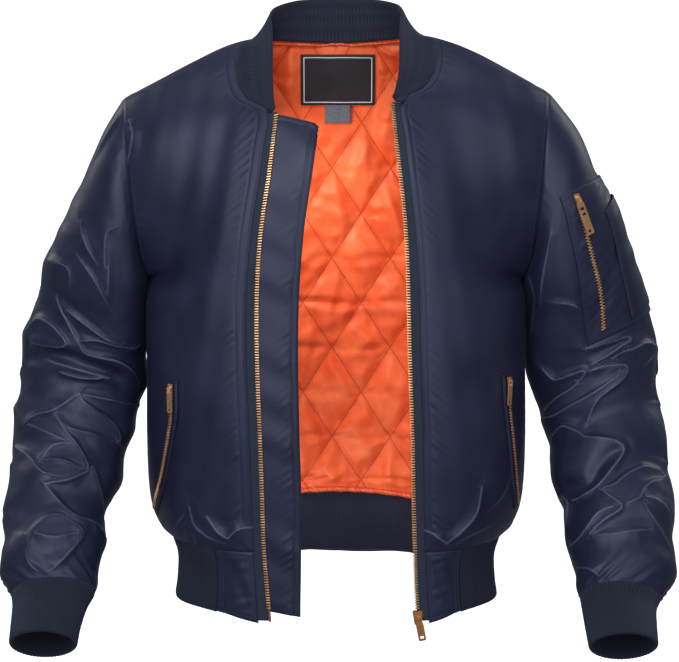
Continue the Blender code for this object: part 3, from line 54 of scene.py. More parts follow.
def softbox(name, place, aim, width, height, power, colour=(1, 1, 1)):
    """A rectangular area light at place that looks towards aim, and is itself out of sight."""
    light = bpy.data.lights.new(name, "AREA")
    light.shape = "RECTANGLE"
    light.size, light.size_y, light.energy, light.color = width, height, power, colour
    lamp = bpy.data.objects.new(name, light)
    bpy.context.collection.objects.link(lamp)
    lamp.location = place
    lamp.rotation_euler = (Vector(aim) - Vector(place)).to_track_quat("-Z", "Y").to_euler()
    lamp.visible_camera = False


softbox("key_left", (-1.35, -2.5, 0.70), (-0.05, 0, -0.30), 0.9, 1.8, 16)
softbox("key_right", (1.35, -2.5, 0.70), (0.10, 0, -0.30), 0.9, 1.8, 16)
softbox("front_fill", (-0.55, -2.65, 1.35), (0, 0, -0.35), 1.5, 0.9, 35)
softbox("low_fill", (0.0, -2.6, -0.30), (0, 0, -0.40), 1.1, 0.7, 14)
softbox("top_light", (0.0, -0.2, 2.2), (0, 0, -0.30), 1.8, 1.2, 12)
softbox("back_left", (-2.4, 1.7, 1.3), (0, 0, -0.30), 1.0, 1.6, 17)
softbox("back_right", (2.4, 1.7, 1.3), (0, 0, -0.30), 1.0, 1.6, 17)
# Two small lamps inside the right front lift the shade in the hollow of the body.
softbox("inside_lamp", (-0.100, -0.030, -0.160), (0.05, 0.12, -0.44), 0.05, 0.10, 0.50, (1.0, 0.96, 0.92))
softbox("hem_lamp", (-0.105, -0.045, -0.560), (0.05, 0.10, -0.70), 0.05, 0.08, 0.24, (0.85, 0.92, 1.0))

world = bpy.data.worlds.new("studio")
bpy.context.scene.world = world
world.use_nodes = True
sky = world.node_tree.nodes["Background"].inputs
sky["Color"].default_value = (0.80, 0.86, 1.0, 1)
sky["Strength"].default_value = 0.20


class Value:
    """A socket of a material that can be written in sums: each operator adds one Math node."""

    def __init__(self, finish, socket):
        self.finish, self.socket = finish, socket

    def math(self, operation, *values):
        return self.finish.node("Math", {"operation": operation}, dict(enumerate(values)))

    def __add__(self, other):
        return self.math("ADD", self, other)

    def __sub__(self, other):
        return self.math("SUBTRACT", self, other)

    def __rsub__(self, other):
        return self.math("SUBTRACT", other, self)

    def __mul__(self, other):
        return self.math("MULTIPLY", self, other)

    __radd__, __rmul__ = __add__, __mul__

    def wave(self, length=None):
        """Its sine, or with a length the sine that repeats at that length."""
        turn = self if length is None else self * (2 * math.pi / length)
        return self.math("SINE", turn)

    def size(self):
        return self.math("ABSOLUTE", self)

    def between(self, low, high):
        """0 at low, 1 at high, eased and held at both ends."""
        settings = {"interpolation_type": "SMOOTHSTEP"}
        return self.finish.node("MapRange", settings, {"Value": self, "From Min": low, "From Max": high})


class Finish:
    """A material: one Principled shader with its constants, and the nodes that vary over the piece."""

    def __init__(self, name, **constants):
        self.material = bpy.data.materials.new(name)
        self.material.use_nodes = True
        self.tree = self.material.node_tree
        self.shader = self.tree.nodes["Principled BSDF"]
        for socket, value in constants.items():
            value = (*value, 1) if isinstance(value, tuple) else value
            self.shader.inputs[socket.replace("_", " ")].default_value = value

    def node(self, kind, settings=None, values=None, output=0):
        made = self.tree.nodes.new("ShaderNode" + kind)
        for key, value in (settings or {}).items():
            setattr(made, key, value)
        for key, value in (values or {}).items():
            if isinstance(value, Value):
                self.tree.links.new(value.socket, made.inputs[key])
            else:
                made.inputs[key].default_value = value
        return Value(self, made.outputs[output])

    def place(self):
        return self.node("TexCoord", {}, {}, "Object")

    def cloth_uv(self):
        """The cloth's UV, in metres or in cells, and its two parts."""
        uv = self.node("UVMap", {"uv_map": "cloth"})
        parts = self.node("SeparateXYZ", {}, {"Vector": uv}).socket.node.outputs
        return uv, Value(self, parts[0]), Value(self, parts[1])

    def mark(self, name):
        """The numbers that the mesh holds for its points under that name."""
        return self.node("Attribute", {"attribute_name": name}, {}, 2)

    def mix(self, factor, *colours):
        first, second = (c if isinstance(c, Value) else (*c, 1) for c in colours)
        return self.node("Mix", {"data_type": "RGBA"}, {0: factor, 6: first, 7: second}, 2)

    def noise(self, place, scale, detail=2.0, rough=0.5):
        return self.node("TexNoise", {}, {"Vector": place, "Scale": scale, "Detail": detail, "Roughness": rough})

    def stretched(self, place, scale):
        return self.node("Mapping", {}, {"Vector": place, "Scale": scale})

    def bump(self, height, strength, distance, under=None):
        values = {"Height": height, "Strength": strength, "Distance": distance}
        if under is not None:
            values["Normal"] = under
        return self.node("Bump", {}, values)

    def feed(self, **sockets):
        for socket, value in sockets.items():
            self.tree.links.new(value.socket, self.shader.inputs[socket.replace("_", " ")])
        return self.material


paper = Finish("white_backdrop", Base_Color=(0.9, 0.9, 0.9), Emission_Color=(1.0, 1.0, 1.0), Emission_Strength=1.0)
bpy.ops.object.select_all(action="DESELECT")
bpy.ops.mesh.primitive_plane_add(size=12, location=(0, 0, -1.25))
floor = bpy.context.object
floor.name = "floor"
bpy.ops.mesh.primitive_uv_sphere_add(radius=5.5, segments=48, ring_count=24, location=(0, 0, 0))
backdrop = bpy.context.object
backdrop.name = "backdrop"
for stage in (floor, backdrop):
    stage.data.materials.append(paper.material)
    stage.visible_glossy = stage.visible_diffuse = False

# ---------------------------------------------------------------------------
# Shell back: one wide panel of navy satin nylon, cut from neck and shoulders to
# the waist seam, with its edges turned in and sewn to the fronts and sleeves.


def welded(node):
    """Points and triangles of a CAD node, with its doubles merged."""
    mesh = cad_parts[node].data
    mesh.calc_loop_triangles()
    places = np.empty(len(mesh.vertices) * 3)
    mesh.vertices.foreach_get("co", places)
    faces = np.empty(len(mesh.loop_triangles) * 3, np.int64)
    mesh.loop_triangles.foreach_get("vertices", faces)
    points, same = np.unique(np.round(places.reshape(-1, 3), 6), axis=0, return_inverse=True)
    return points, same.reshape(-1)[faces].reshape(-1, 3)



def face_of(node, look=None, fold=50, wall=None, without=()):
    """The smooth side of a thin solid that looks along look, or its largest side.
    With a wall, the faces across the wall are left out by their short edges instead of by the fold."""
    points, faces = welded(node)
    faces = faces[~np.isin(faces, without).any(1)]
    if wall is not None:
        shortest = np.linalg.norm(points[faces] - points[np.roll(faces, 1, 1)], axis=2).min(1)
        faces, fold = faces[shortest > wall * 1.25], 180
    normals = np.cross(points[faces[:, 1]] - points[faces[:, 0]], points[faces[:, 2]] - points[faces[:, 0]])
    area = np.linalg.norm(normals, axis=1)
    unit = normals / np.maximum(area, 1e-15)[:, None]
    edges = {}
    for k, (a, b, c) in enumerate(faces.tolist()):
        for edge in ((a, b), (b, c), (c, a)):
            edges.setdefault(frozenset(edge), []).append(k)
    root = list(range(len(faces)))

    def top(k):
        while root[k] != k:
            root[k] = root[root[k]]
            k = root[k]
        return k

    limit = math.cos(math.radians(fold))
    for pair in edges.values():
        if len(pair) == 2 and unit[pair[0]] @ unit[pair[1]] > limit:
            root[top(pair[0])] = top(pair[1])
    sides = {}
    for k in range(len(faces)):
        sides.setdefault(top(k), []).append(k)
    if look is None:
        best = max(sides.values(), key=lambda s: area[s].sum())
    else:
        best = max(sides.values(), key=lambda s: float(normals[s].sum(0) @ np.array(look)))
    return points, faces[best]


def neighbours(faces):
    """For each edge the corners that face it, and the border's edges."""
    facing = {}
    for a, b, c in faces.tolist():
        for x, y, z in ((a, b, c), (b, c, a), (c, a, b)):
            facing.setdefault(frozenset((x, y)), []).append(z)
    border = {}
    for edge, ends in facing.items():
        if len(ends) == 1:
            x, y = edge
            border.setdefault(x, []).append(y)
            border.setdefault(y, []).append(x)
    return facing, border


def nearest(points, candidates, place):
    return min(candidates, key=lambda v: float(np.linalg.norm(points[v] - np.array(place))))


def walk(border, start, step, stop):
    line = [start, step]
    while line[-1] not in stop:
        line.append([v for v in border[line[-1]] if v != line[-2]][0])
    return line


def panel_grid(points, faces, start, beside):
    """Rows and columns of an open panel. start is near its first corner, and beside near the first row's other end."""
    facing, border = neighbours(faces)
    count = np.bincount(faces.ravel(), minlength=len(points))
    corners = {v for v in border if count[v] != 3}
    first, end = nearest(points, corners, start), nearest(points, corners, beside)
    lines = [walk(border, first, step, corners - {first}) for step in border[first]]
    row, column = lines if lines[0][-1] == end else lines[::-1]
    rows, placed = [row], set(row)
    for i in range(1, len(column)):
        line = [column[i]]
        for j in range(1, len(row)):
            corner, above, left = rows[-1][j - 1], rows[-1][j], line[-1]
            diagonal = facing.get(frozenset((above, left)))
            if diagonal:
                line.append([v for v in diagonal if v != corner][0])
            else:
                both = set(facing[frozenset((corner, above))]) & set(facing[frozenset((corner, left))])
                line.append((both - placed).pop())
        rows.append(line)
        placed |= set(line)
    return points[np.array(rows)]


def tube_grid(points, faces, start):
    """Rings of a tube, the first one nearest start."""
    facing, border = neighbours(faces)
    first = nearest(points, border, start)
    best = None
    for step in border[first]:
        ring = walk(border, first, step, {first})[:-1]
        rings, placed = [ring], set(ring)
        while True:
            line = []
            for j, a in enumerate(rings[-1]):
                b = rings[-1][(j + 1) % len(ring)]
                ahead = [v for v in facing[frozenset((a, b))] if v not in placed]
                if not ahead:
                    break
                line.append(ahead[0])
            if len(line) < len(ring):
                break
            line = line[-1:] + line[:-1]
            rings.append(line)
            placed |= set(line)
        grid = points[np.array(rings)]
        twist = np.linalg.norm(np.diff(grid, axis=0), axis=2).sum()
        if best is None or twist < best[0]:
            best = (twist, grid)
    return best[1]


def smooth_weights(count, at, ring=False):
    """Catmull-Rom weights that read a line of count points at the places at, counted in points."""
    at = np.asarray(at, float)
    below = np.floor(at).astype(int) if ring else np.clip(np.floor(at).astype(int), 0, count - 2)
    t = at - below
    weights = np.zeros((len(at), count))
    lines = np.arange(len(at))
    for shift, share in (
        (-1, -0.5 * t + t**2 - 0.5 * t**3),
        (0, 1 - 2.5 * t**2 + 1.5 * t**3),
        (1, 0.5 * t + 2 * t**2 - 1.5 * t**3),
        (2, -0.5 * t**2 + 0.5 * t**3),
    ):
        index = below + shift
        if ring:
            np.add.at(weights, (lines, index % count), share)
            continue
        inside = (index >= 0) & (index < count)
        np.add.at(weights, (lines[inside], index[inside]), share[inside])
        for out, near, far in ((index < 0, 0, 1), (index >= count, count - 1, count - 2)):
            np.add.at(weights, (lines[out], near), 2 * share[out])
            np.add.at(weights, (lines[out], far), -share[out])
    return weights


def unit(vectors):
    return vectors / np.maximum(np.linalg.norm(vectors, axis=-1, keepdims=True), 1e-12)


def run_of(line):
    """How far each point of a line lies from its start, along the line."""
    return np.concatenate([[0], np.cumsum(np.linalg.norm(np.diff(line, axis=0), axis=1))])


def read(line, run, places):
    """A line's points, or the vectors on them, at the given distances along it."""
    return np.stack([np.interp(places, run, line[:, k]) for k in range(3)], -1)


class Panel:
    """A cut piece of cloth as a fine grid of points with its outward normals and the distances along it."""

    def __init__(self, at, look=None, ring=False):
        self.at, self.ring, self.side = at, ring, 1
        outward = at - at.mean(1, keepdims=True) if look is None else np.array(look, float)
        if (self.normals() * outward).sum() < 0:
            self.side = -1
        self.refresh()

    def normals(self):
        if self.ring:
            across = np.roll(self.at, -1, 1) - np.roll(self.at, 1, 1)
        else:
            across = np.gradient(self.at, axis=1)
        return unit(np.cross(across, np.gradient(self.at, axis=0)) * self.side)

    def refresh(self):
        self.normal = self.normals()
        wide = np.concatenate([self.at, self.at[:, :1]], 1) if self.ring else self.at
        steps = np.linalg.norm(np.diff(wide, axis=1), axis=2)
        self.across = np.concatenate([np.zeros((len(steps), 1)), np.cumsum(steps, 1)], 1)
        rise = np.linalg.norm(np.diff(self.at, axis=0), axis=2)
        self.up = np.concatenate([np.zeros((1, rise.shape[1])), np.cumsum(rise, 0)], 0)
        self.width, self.height = self.across[:, -1:], self.up[-1:]
        self.up_wide = np.concatenate([self.up, self.up[:, :1]], 1) if self.ring else self.up
        return self

    def push(self, height):
        """Moves each point out along the normal."""
        self.at = self.at + self.normal * np.asarray(height)[..., None]
        self.normal = self.normals()
        return self

    def copy(self, at=None):
        twin = Panel.__new__(Panel)
        twin.at, twin.ring, twin.side = (self.at if at is None else at), self.ring, self.side
        return twin.refresh()

    def rim(self, open_rows=slice(None)):
        """How far each point lies from the edges; the first column is an edge in open_rows only."""
        at = self.at
        return edge_distance(at, np.concatenate([at[0], at[-1], at[:, -1], at[open_rows, 0]]))

    def edge_gap(self):
        """The same for a panel of four edges, measured along the cloth."""
        return np.minimum(
            np.minimum(self.up, self.height - self.up), np.minimum(self.across, self.width - self.across)
        )


def refined(coarse, up, across, look=None, ring=False):
    """A fine panel on a coarse grid. up and across are places counted in its rows and columns, or their number."""
    up, across = (
        np.linspace(0, count - 1, places) if isinstance(places, int) else places
        for places, count in zip((up, across), coarse.shape)
    )
    rows = smooth_weights(coarse.shape[0], up)
    columns = smooth_weights(coarse.shape[1], across, ring)
    return Panel(np.einsum("ai,bj,ijk->abk", rows, columns, coarse), look, ring)


def grown(node, look, start, beside, up, across):
    """A fine panel on the side of a CAD node that looks along look. For start and beside see panel_grid."""
    return refined(panel_grid(*face_of(node, look), start, beside), up, across, look)


def mesh_object(name, points, quads, uv, material):
    """A mesh of quads with a UV map in metres: uv holds one pair for each corner of each quad."""
    mesh = bpy.data.meshes.new(name)
    mesh.from_pydata(points.reshape(-1, 3).tolist(), [], quads.tolist())
    layer = mesh.uv_layers.new(name="cloth")
    layer.data.foreach_set("uv", np.ascontiguousarray(uv, np.float32).reshape(-1))
    mesh.polygons.foreach_set("use_smooth", [True] * len(mesh.polygons))
    piece = bpy.data.objects.new(name, mesh)
    bpy.context.collection.objects.link(piece)
    mesh.materials.append(material)
    mesh.validate()
    mesh.update()
    return piece


def grid_quads(rows, columns, ring, side):
    index = np.arange(rows * columns).reshape(rows, columns)
    ahead = np.roll(index, -1, 1) if ring else index[:, 1:]
    here = index if ring else index[:, :-1]
    quads = np.stack([here[:-1], ahead[:-1], ahead[1:], here[1:]], -1).reshape(-1, 4)
    return quads if side > 0 else quads[:, ::-1]


def grid_uv(u, v, side):
    """Corner UVs of grid_quads, from arrays that hold one column more than the points do on a tube."""
    pair = np.stack([u, v], -1)
    corners = np.stack([pair[:-1, :-1], pair[:-1, 1:], pair[1:, 1:], pair[1:, :-1]], -2).reshape(-1, 4, 2)
    return corners if side > 0 else corners[:, ::-1]


def applied(piece, kind, **settings):
    """Gives a piece a modifier and applies it."""
    bpy.ops.object.select_all(action="DESELECT")
    bpy.context.view_layer.objects.active = piece
    piece.select_set(True)
    modifier = piece.modifiers.new(kind.lower(), kind)
    for key, value in settings.items():
        setattr(modifier, key, value)
    bpy.ops.object.modifier_apply(modifier=modifier.name)
    return piece


def walled(piece, wall):
    """Gives a cloth piece its thickness, inwards from the outer face."""
    return applied(piece, "SOLIDIFY", thickness=wall, offset=-1)


EDGES = ("first", "last", "start", "end")  # the first and last row, and the first and last column
SHELL_WALL, SEAM_TURN = 0.0011, 0.0035


def turned_in(panel, depth, edges=EDGES, close=0.0005):
    """The panel's grid with its edges turned in, as a seam allowance: (points, across, up)."""
    at, normal, u, v = panel.at, panel.normal, panel.across, panel.up_wide
    for number, edge in enumerate(EDGES[:2] if panel.ring else EDGES):
        if edge not in edges:
            continue
        axis, end = divmod(number, 2)

        def longer(grid, line):
            line = np.expand_dims(line, axis)
            return np.concatenate([grid, line] if end else [line, grid], axis)

        line, inner = (np.take(at, k, axis) for k in ((-1, -2) if end else (0, 1)))
        face, beyond = np.take(normal, -end, axis), depth if end else -depth
        at, normal = longer(at, line - face * depth + unit(line - inner) * close), longer(normal, face)
        u = longer(u, np.take(u, -end, axis) + beyond * axis)
        v = longer(v, np.take(v, -end, axis) + beyond * (1 - axis))
    return at, u, v


def sewn_panel(name, panel, material, wall=SHELL_WALL, depth=SEAM_TURN, marks=None):
    """The panel as a piece with its edges turned in; marks are numbers for each point that its material reads."""
    at, u, v = turned_in(panel, depth)
    quads = grid_quads(*at.shape[:2], panel.ring, panel.side)
    piece = mesh_object(name, at, quads, grid_uv(u, v, panel.side), material)
    for mark, values in (marks or {}).items():
        values = np.pad(values, ((1, 1), (0, 0) if panel.ring else (1, 1)), mode="edge").astype(np.float32)
        piece.data.attributes.new(mark, "FLOAT", "POINT").data.foreach_set("value", values.ravel())
    return walled(piece, wall)


def fade(distance, start, end):
    """0 at start, 1 at end, eased and held at both ends."""
    t = np.clip((distance - start) / (end - start), 0, 1)
    return t * t * (3 - 2 * t)


def bell(distance, width):
    return np.exp(-((distance / width) ** 2))


def ripple(place, wave, seed):
    """A wave of about that length that never repeats quite the same, from -1 to 1."""
    phase = np.random.default_rng(seed).uniform(0, 2 * math.pi, 4)
    turn = 2 * math.pi * place / wave
    return (
        0.52 * np.sin(turn + phase[0] + 1.1 * np.sin(turn * 0.23 + phase[3]))
        + 0.30 * np.sin(turn * 1.37 + phase[1])
        + 0.18 * np.sin(turn * 0.61 + phase[2])
    )


def seam_relief(distance, stitched=()):
    """Cloth that dips into its seam, and lies lower along a row of stitches."""
    height = -0.0011 * bell(distance, 0.0024)
    for place in stitched:
        height = height - 0.00045 * bell(distance - place, 0.0012)
    return height


def puckers(along, distance, start, reach, wave, size, seed, slant=0.0):
    """Small gathers that run away from a sewn line and die out."""
    swell = 0.55 + 0.45 * ripple(along, wave * 5.3, seed + 50)
    line = ripple(along + slant * distance, wave, seed)
    return size * swell * line * fade(distance, start, start + 0.004) * np.exp(-np.maximum(distance - start, 0) / reach)


def edge_distance(at, border):
    """How far each point lies from the nearest point of a border line."""
    flat = at.reshape(-1, 3)
    best = np.full(len(flat), 1e9)
    for part in np.array_split(border.reshape(-1, 3), max(1, len(border.reshape(-1, 3)) // 40)):
        gap = ((flat[:, None] - part[None]) ** 2).sum(-1).min(1)
        best = np.minimum(best, gap)
    return np.sqrt(best).reshape(at.shape[:2])


def creased(panel, lines, width, height, flat=(1, 1, 1)):
    """Sharp folds along lines of points in millimetres, steep on one side and easy on the other.
    Gives their height, and each point's signed distance and nearness to the closest crest."""
    at = panel.at * np.array(flat)
    ridge, valley, near = (np.zeros(at.shape[:2]) for _ in range(3))
    side = np.full(at.shape[:2], 1.0)
    for scale, line in lines:
        ends = np.array(line, float) / 1000
        ends = smooth_weights(len(ends), np.linspace(0, len(ends) - 1, 3 * len(ends) - 2)) @ ends
        best, total, signed = (np.full(at.shape[:2], v) for v in (1e9, 0.0, 1.0))
        run = run_of(ends)
        for k, step in enumerate(np.diff(ends, axis=0)):
            t = np.clip(((at - ends[k]) @ step) / (step @ step), 0, 1)
            off = at - ends[k] - t[..., None] * step
            gap = np.linalg.norm(off, axis=2)
            turn = np.cross(np.broadcast_to(unit(step), at.shape), off)
            nearer = gap < best
            signed = np.where(nearer, np.sign((turn * panel.normal).sum(-1)) * np.linalg.norm(turn, axis=2), signed)
            best = np.where(nearer, gap, best)
            total = np.where(nearer, run[k] + t * (run[k + 1] - run[k]), total)
        taper = 0.35 + 0.65 * np.sin(np.pi * np.clip(0.12 + 0.76 * total / run[-1], 0, 1))
        if scale > 0:
            reach = np.where(signed > 0, width * 0.6, width * 1.8)
            shape = np.exp(-best / reach) - 0.30 * bell(best - 1.8 * width, 0.9 * width) * (signed > 0)
            ridge = np.maximum(ridge, scale * taper * shape) + np.minimum(0, scale * taper * shape) * 0.6
            here = scale * taper * (1 - fade(best, 0.003, 0.011))
            side = np.where(here > near, signed, side)
            near = np.maximum(near, here)
        else:
            valley = np.minimum(valley, scale * taper * np.exp(-((best / width) ** 2) * 0.8))
    return height * (ridge + valley), side, near


def navy_nylon(name):
    """Navy satin nylon: a fine warp-faced weave with a soft sheen, and a painted highlight in a paler navy along the
    crests of its folds.
    """
    cloth = Finish(
        name,
        Base_Color=(0.016, 0.017, 0.036),
        Roughness=0.42,
        Specular_IOR_Level=0.36,
        Specular_Tint=(0.72, 0.78, 1.0),
        Sheen_Weight=0.03,
        Sheen_Roughness=0.35,
        Sheen_Tint=(0.35, 0.42, 0.75),
    )
    place, (uv, u, v) = cloth.place(), cloth.cloth_uv()
    cloudy = cloth.noise(place, 16.0, 3.0, 0.55)
    threads = cloth.noise(cloth.stretched(uv, (2600.0, 260.0, 1.0)), 1.0, 1.0)
    weft, twill = v.wave(0.00055), (u + v * 0.5).wave(0.0011)
    patches = (cloudy * 0.7 + threads * 0.3).between(0.30, 0.70)
    shade = cloth.mix(patches, (0.0118, 0.0126, 0.0320), (0.0190, 0.0204, 0.0490))
    side, near = cloth.mark("crease_side"), cloth.mark("crease_near")
    # Painted highlight: the crest lines of the folds are mixed towards a paler navy in the base colour; there the cloth
    # is also a little glossier and raised by a bump.
    crest = (1 - side.size().between(0.0003, 0.0019)) * near.between(0.10, 0.75)
    shade = cloth.mix(crest * 0.80, shade, (0.075, 0.080, 0.140))
    soft = cloudy.between(0.3, 0.7) * 0.08 + threads * 0.05 + 0.365 - crest * 0.10
    weave = cloth.bump(threads * 0.6 + weft * 0.2 + twill * 0.2, 0.22, 0.00012)
    sharp = cloth.bump(crest, 0.45, 0.0010, weave)
    fine = cloth.noise(place, 130.0, 3.0, 0.6)
    cloth.feed(Base_Color=shade, Roughness=soft, Normal=cloth.bump(fine, 0.10, 0.0006, sharp))
    return cloth


nylon = navy_nylon("navy_satin_nylon").material


def declare(piece, *nodes, slot, cut=None, with_pieces=()):
    """Hides the CAD nodes that a piece stands for and hangs the piece on the jacket's body; its slot and cut are not
    used.
    """
    if nodes:
        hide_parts(*nodes)
    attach(piece, "jacket")


def flat_of(panel):
    """Width and length of the cloth as it was cut, and its area."""
    width, height = round(float(panel.width.max()), 3), round(float(panel.height.max()), 3)
    steps_u, steps_v = np.diff(panel.across, axis=1), np.diff(panel.up_wide, axis=0)
    cells = (steps_u[:-1] + steps_u[1:]) / 2 * (steps_v[:, :-1] + steps_v[:, 1:]) / 2
    area = float(cells.sum())
    return (width, height), round(max(min(area, width * height * 0.998), 0.31 * width * height), 6)


def meet(halves, rows):
    """Moves the first columns of two halves to one line, in the given rows."""
    centre = (halves[0].at[rows, 0] + halves[1].at[rows, 0]) / 2
    for half in halves:
        half.at[rows, 0] = centre
        half.refresh()


def joined_halves(name, grids, material, merge, wall):
    """One piece of two halves, each (points, u, v, side), welded along the centre line."""
    points, quads, uvs = [], [], []
    for at, u, v, side in grids:
        quads.append(grid_quads(*at.shape[:2], False, side) + sum(map(len, points)))
        uvs.append(grid_uv(u, v, side))
        points.append(at.reshape(-1, 3))
    piece = mesh_object(name, *map(np.concatenate, (points, quads, uvs)), material)
    return walled(applied(piece, "WELD", merge_threshold=merge), wall)


SIDES = ((1, "left"), (-1, "right"))
NECK_ROW = 18.0  # the row of the coarse grid where the back's centre line meets the neck
back_up = np.linspace(0, 23, 236)
back_across = np.concatenate([np.linspace(1, 9, 72, endpoint=False), np.linspace(9, 10, 16)])
points, faces = face_of("back", (0, 1, 0), wall=0.0014)
coarse_halves, wide_halves = [], []
for hand, _ in SIDES:
    own = faces[points[faces].mean(1)[:, 0] * hand > 0]
    coarse_halves.append(panel_grid(points, own, (0, 0.112, -0.573), (hand * 0.1985, -0.002, -0.6)))
for own, other in (coarse_halves, coarse_halves[::-1]):
    beyond = 2 * own[:, 0] - own[:, 1]
    joined = np.linalg.norm(own[:, 0] - other[:, 0], axis=1) < 1e-4
    beyond[joined] = other[joined, 1]
    wide_halves.append(np.concatenate([beyond[:, None], own], 1))
back_halves = [refined(grid, back_up, back_across, (0, 1, 0)) for grid in wide_halves]
open_neck = back_up > NECK_ROW
meet(back_halves, ~open_neck)

back_creases = [
    (1, [(-60, 0, -560), (-30, 0, -505), (-18, 0, -450)]),
    (1, [(70, 0, -560), (48, 0, -500), (52, 0, -455)]),
    (0.8, [(-170, 0, -330), (-120, 0, -350), (-70, 0, -352)]),
    (0.8, [(165, 0, -300), (118, 0, -328), (76, 0, -332)]),
    (0.7, [(-205, 0, -215), (-150, 0, -250), (-110, 0, -262)]),
    (0.7, [(205, 0, -205), (160, 0, -238), (112, 0, -246)]),
    (0.7, [(-140, 0, -440), (-100, 0, -452), (-62, 0, -446)]),
    (0.6, [(140, 0, -420), (104, 0, -436), (70, 0, -440)]),
]
for number, half in enumerate(back_halves):
    rim = half.rim(open_neck)
    folds = creased(half, back_creases, 0.012, 0.0024, (1, 0, 1))[0]
    x, z = half.at[..., 0], half.at[..., 2]
    soft = 0.0028 * np.sin(x * 21 + 0.6 + 1.3 * np.sin(z * 7)) * np.sin(z * 9 + x * 5 + 0.4)
    soft += 0.0016 * ripple(x + 0.25 * z, 0.055, 71) * fade(-z, 0.25, 0.55)
    half.push(
        seam_relief(rim)
        + soft * fade(rim, 0.0, 0.05)
        + folds * fade(rim, 0.004, 0.03)
        + puckers(x, half.up, 0.002, 0.026, 0.017, 0.0021, 81)
        + puckers(half.up, half.width - half.across, 0.003, 0.012, 0.014, 0.0007, 82 + number, 0.4)
    )
meet(back_halves, ~open_neck)

grids = []
for (hand, _), half in zip(SIDES, back_halves):
    at, u, v = turned_in(half, SEAM_TURN, ("first", "last", "end"))
    grids.append((at, u * hand, v, half.side))
back_shell = joined_halves("back_shell", grids, nylon, 0.00002, SHELL_WALL)
cuts = [flat_of(half) for half in back_halves]
back_cut = (cuts[0][0][0] + cuts[1][0][0], cuts[0][0][1]), cuts[0][1] + cuts[1][1]
declare(back_shell, "back", slot="navy_nylon", cut=back_cut)

# ---------------------------------------------------------------------------
# Shell fronts: a left and a right panel of the same nylon, from the shoulder to
# the waist seam, with the zip sewn under the front edge and topstitched twice.
front_up = np.linspace(0, 21, 372)
front_across = np.concatenate(
    [np.linspace(0.25, 1.4, 22, endpoint=False), np.linspace(1.4, 8.3, 44, endpoint=False), np.linspace(8.3, 9.1, 11)]
)
front_creases = {
    "left": [
        (1.2, [(100, 0, -572), (113, 0, -577), (128, 0, -589)]),
        (1.2, [(128, 0, -589), (149, 0, -570), (162, 0, -553), (168, 0, -530)]),
        (0.5, [(136, 0, -592), (158, 0, -580), (180, 0, -574)]),
        (0.4, [(176, 0, -556), (196, 0, -540), (208, 0, -515)]),
    ],
    "right": [
        (1.0, [(-240, 0, -106), (-237, 0, -116), (-239, 0, -131), (-243, 0, -146)]),
        (1.2, [(-146, 0, -563), (-137, 0, -574), (-125, 0, -583)]),
        (1.2, [(-125, 0, -583), (-114, 0, -571), (-99, 0, -569)]),
        (0.8, [(-170, 0, -553), (-164, 0, -569), (-149, 0, -582), (-133, 0, -588)]),
        (0.4, [(-188, 0, -575), (-178, 0, -560), (-170, 0, -553)]),
    ],
}
stitch_from_zip = {"left": (0.0022, 0.0085), "right": (0.0022, 0.0120)}
front_plain, front_shell = {}, {}
for hand, name in SIDES:
    corners = (hand * 0.097, -0.121, -0.598), (hand * 0.1985, -0.002, -0.600)
    panel = grown("front_" + name, (hand * 0.5, -0.8, 0.1), *corners, front_up, front_across)
    front_plain[name], front_shell[name] = panel.copy(), panel
    zip_side, side = panel.across, panel.width - panel.across
    x, z = panel.at[..., 0] * hand, panel.at[..., 2]
    rim = panel.rim()
    folds, fold_side, fold_near = creased(panel, front_creases[name], 0.010, 0.0042, (1, 0, 1))
    inner, outer = stitch_from_zip[name]
    soft = 0.0009 * np.sin((x - 0.12) * 36 + 1.2 * np.sin(z * 6 + hand)) * np.sin(z * 5.5 + 1.2 + hand * 0.4)
    soft += 0.0010 * ripple(x + 0.18 * z, 0.045, 31 + hand)
    panel.push(
        seam_relief(rim)
        - 0.0005 * bell(zip_side - outer, 0.0014)
        - 0.0003 * bell(zip_side - inner, 0.0010)
        + soft * fade(rim, 0.004, 0.05)
        + folds * fade(rim, 0.002, 0.022)
        + puckers(panel.up, zip_side, outer, 0.016, 0.0125, 0.00085, 11 + hand, 0.9)
        + 0.4 * puckers(panel.up, zip_side, 0.001, 0.006, 0.0085, 0.0006, 14 + hand, -0.6)
        + puckers(x, panel.up, 0.002, 0.024, 0.016, 0.0019, 21 + hand) * fade(zip_side, 0.02, 0.06)
        + puckers(panel.up, side, 0.003, 0.012, 0.014, 0.0008, 24 + hand, 0.5)
    )
    marks = {"crease_side": fold_side, "crease_near": fold_near}
    piece = sewn_panel("front_shell_" + name, panel, nylon, marks=marks)
    declare(piece, "front_" + name, slot="navy_nylon", cut=flat_of(front_plain[name]))

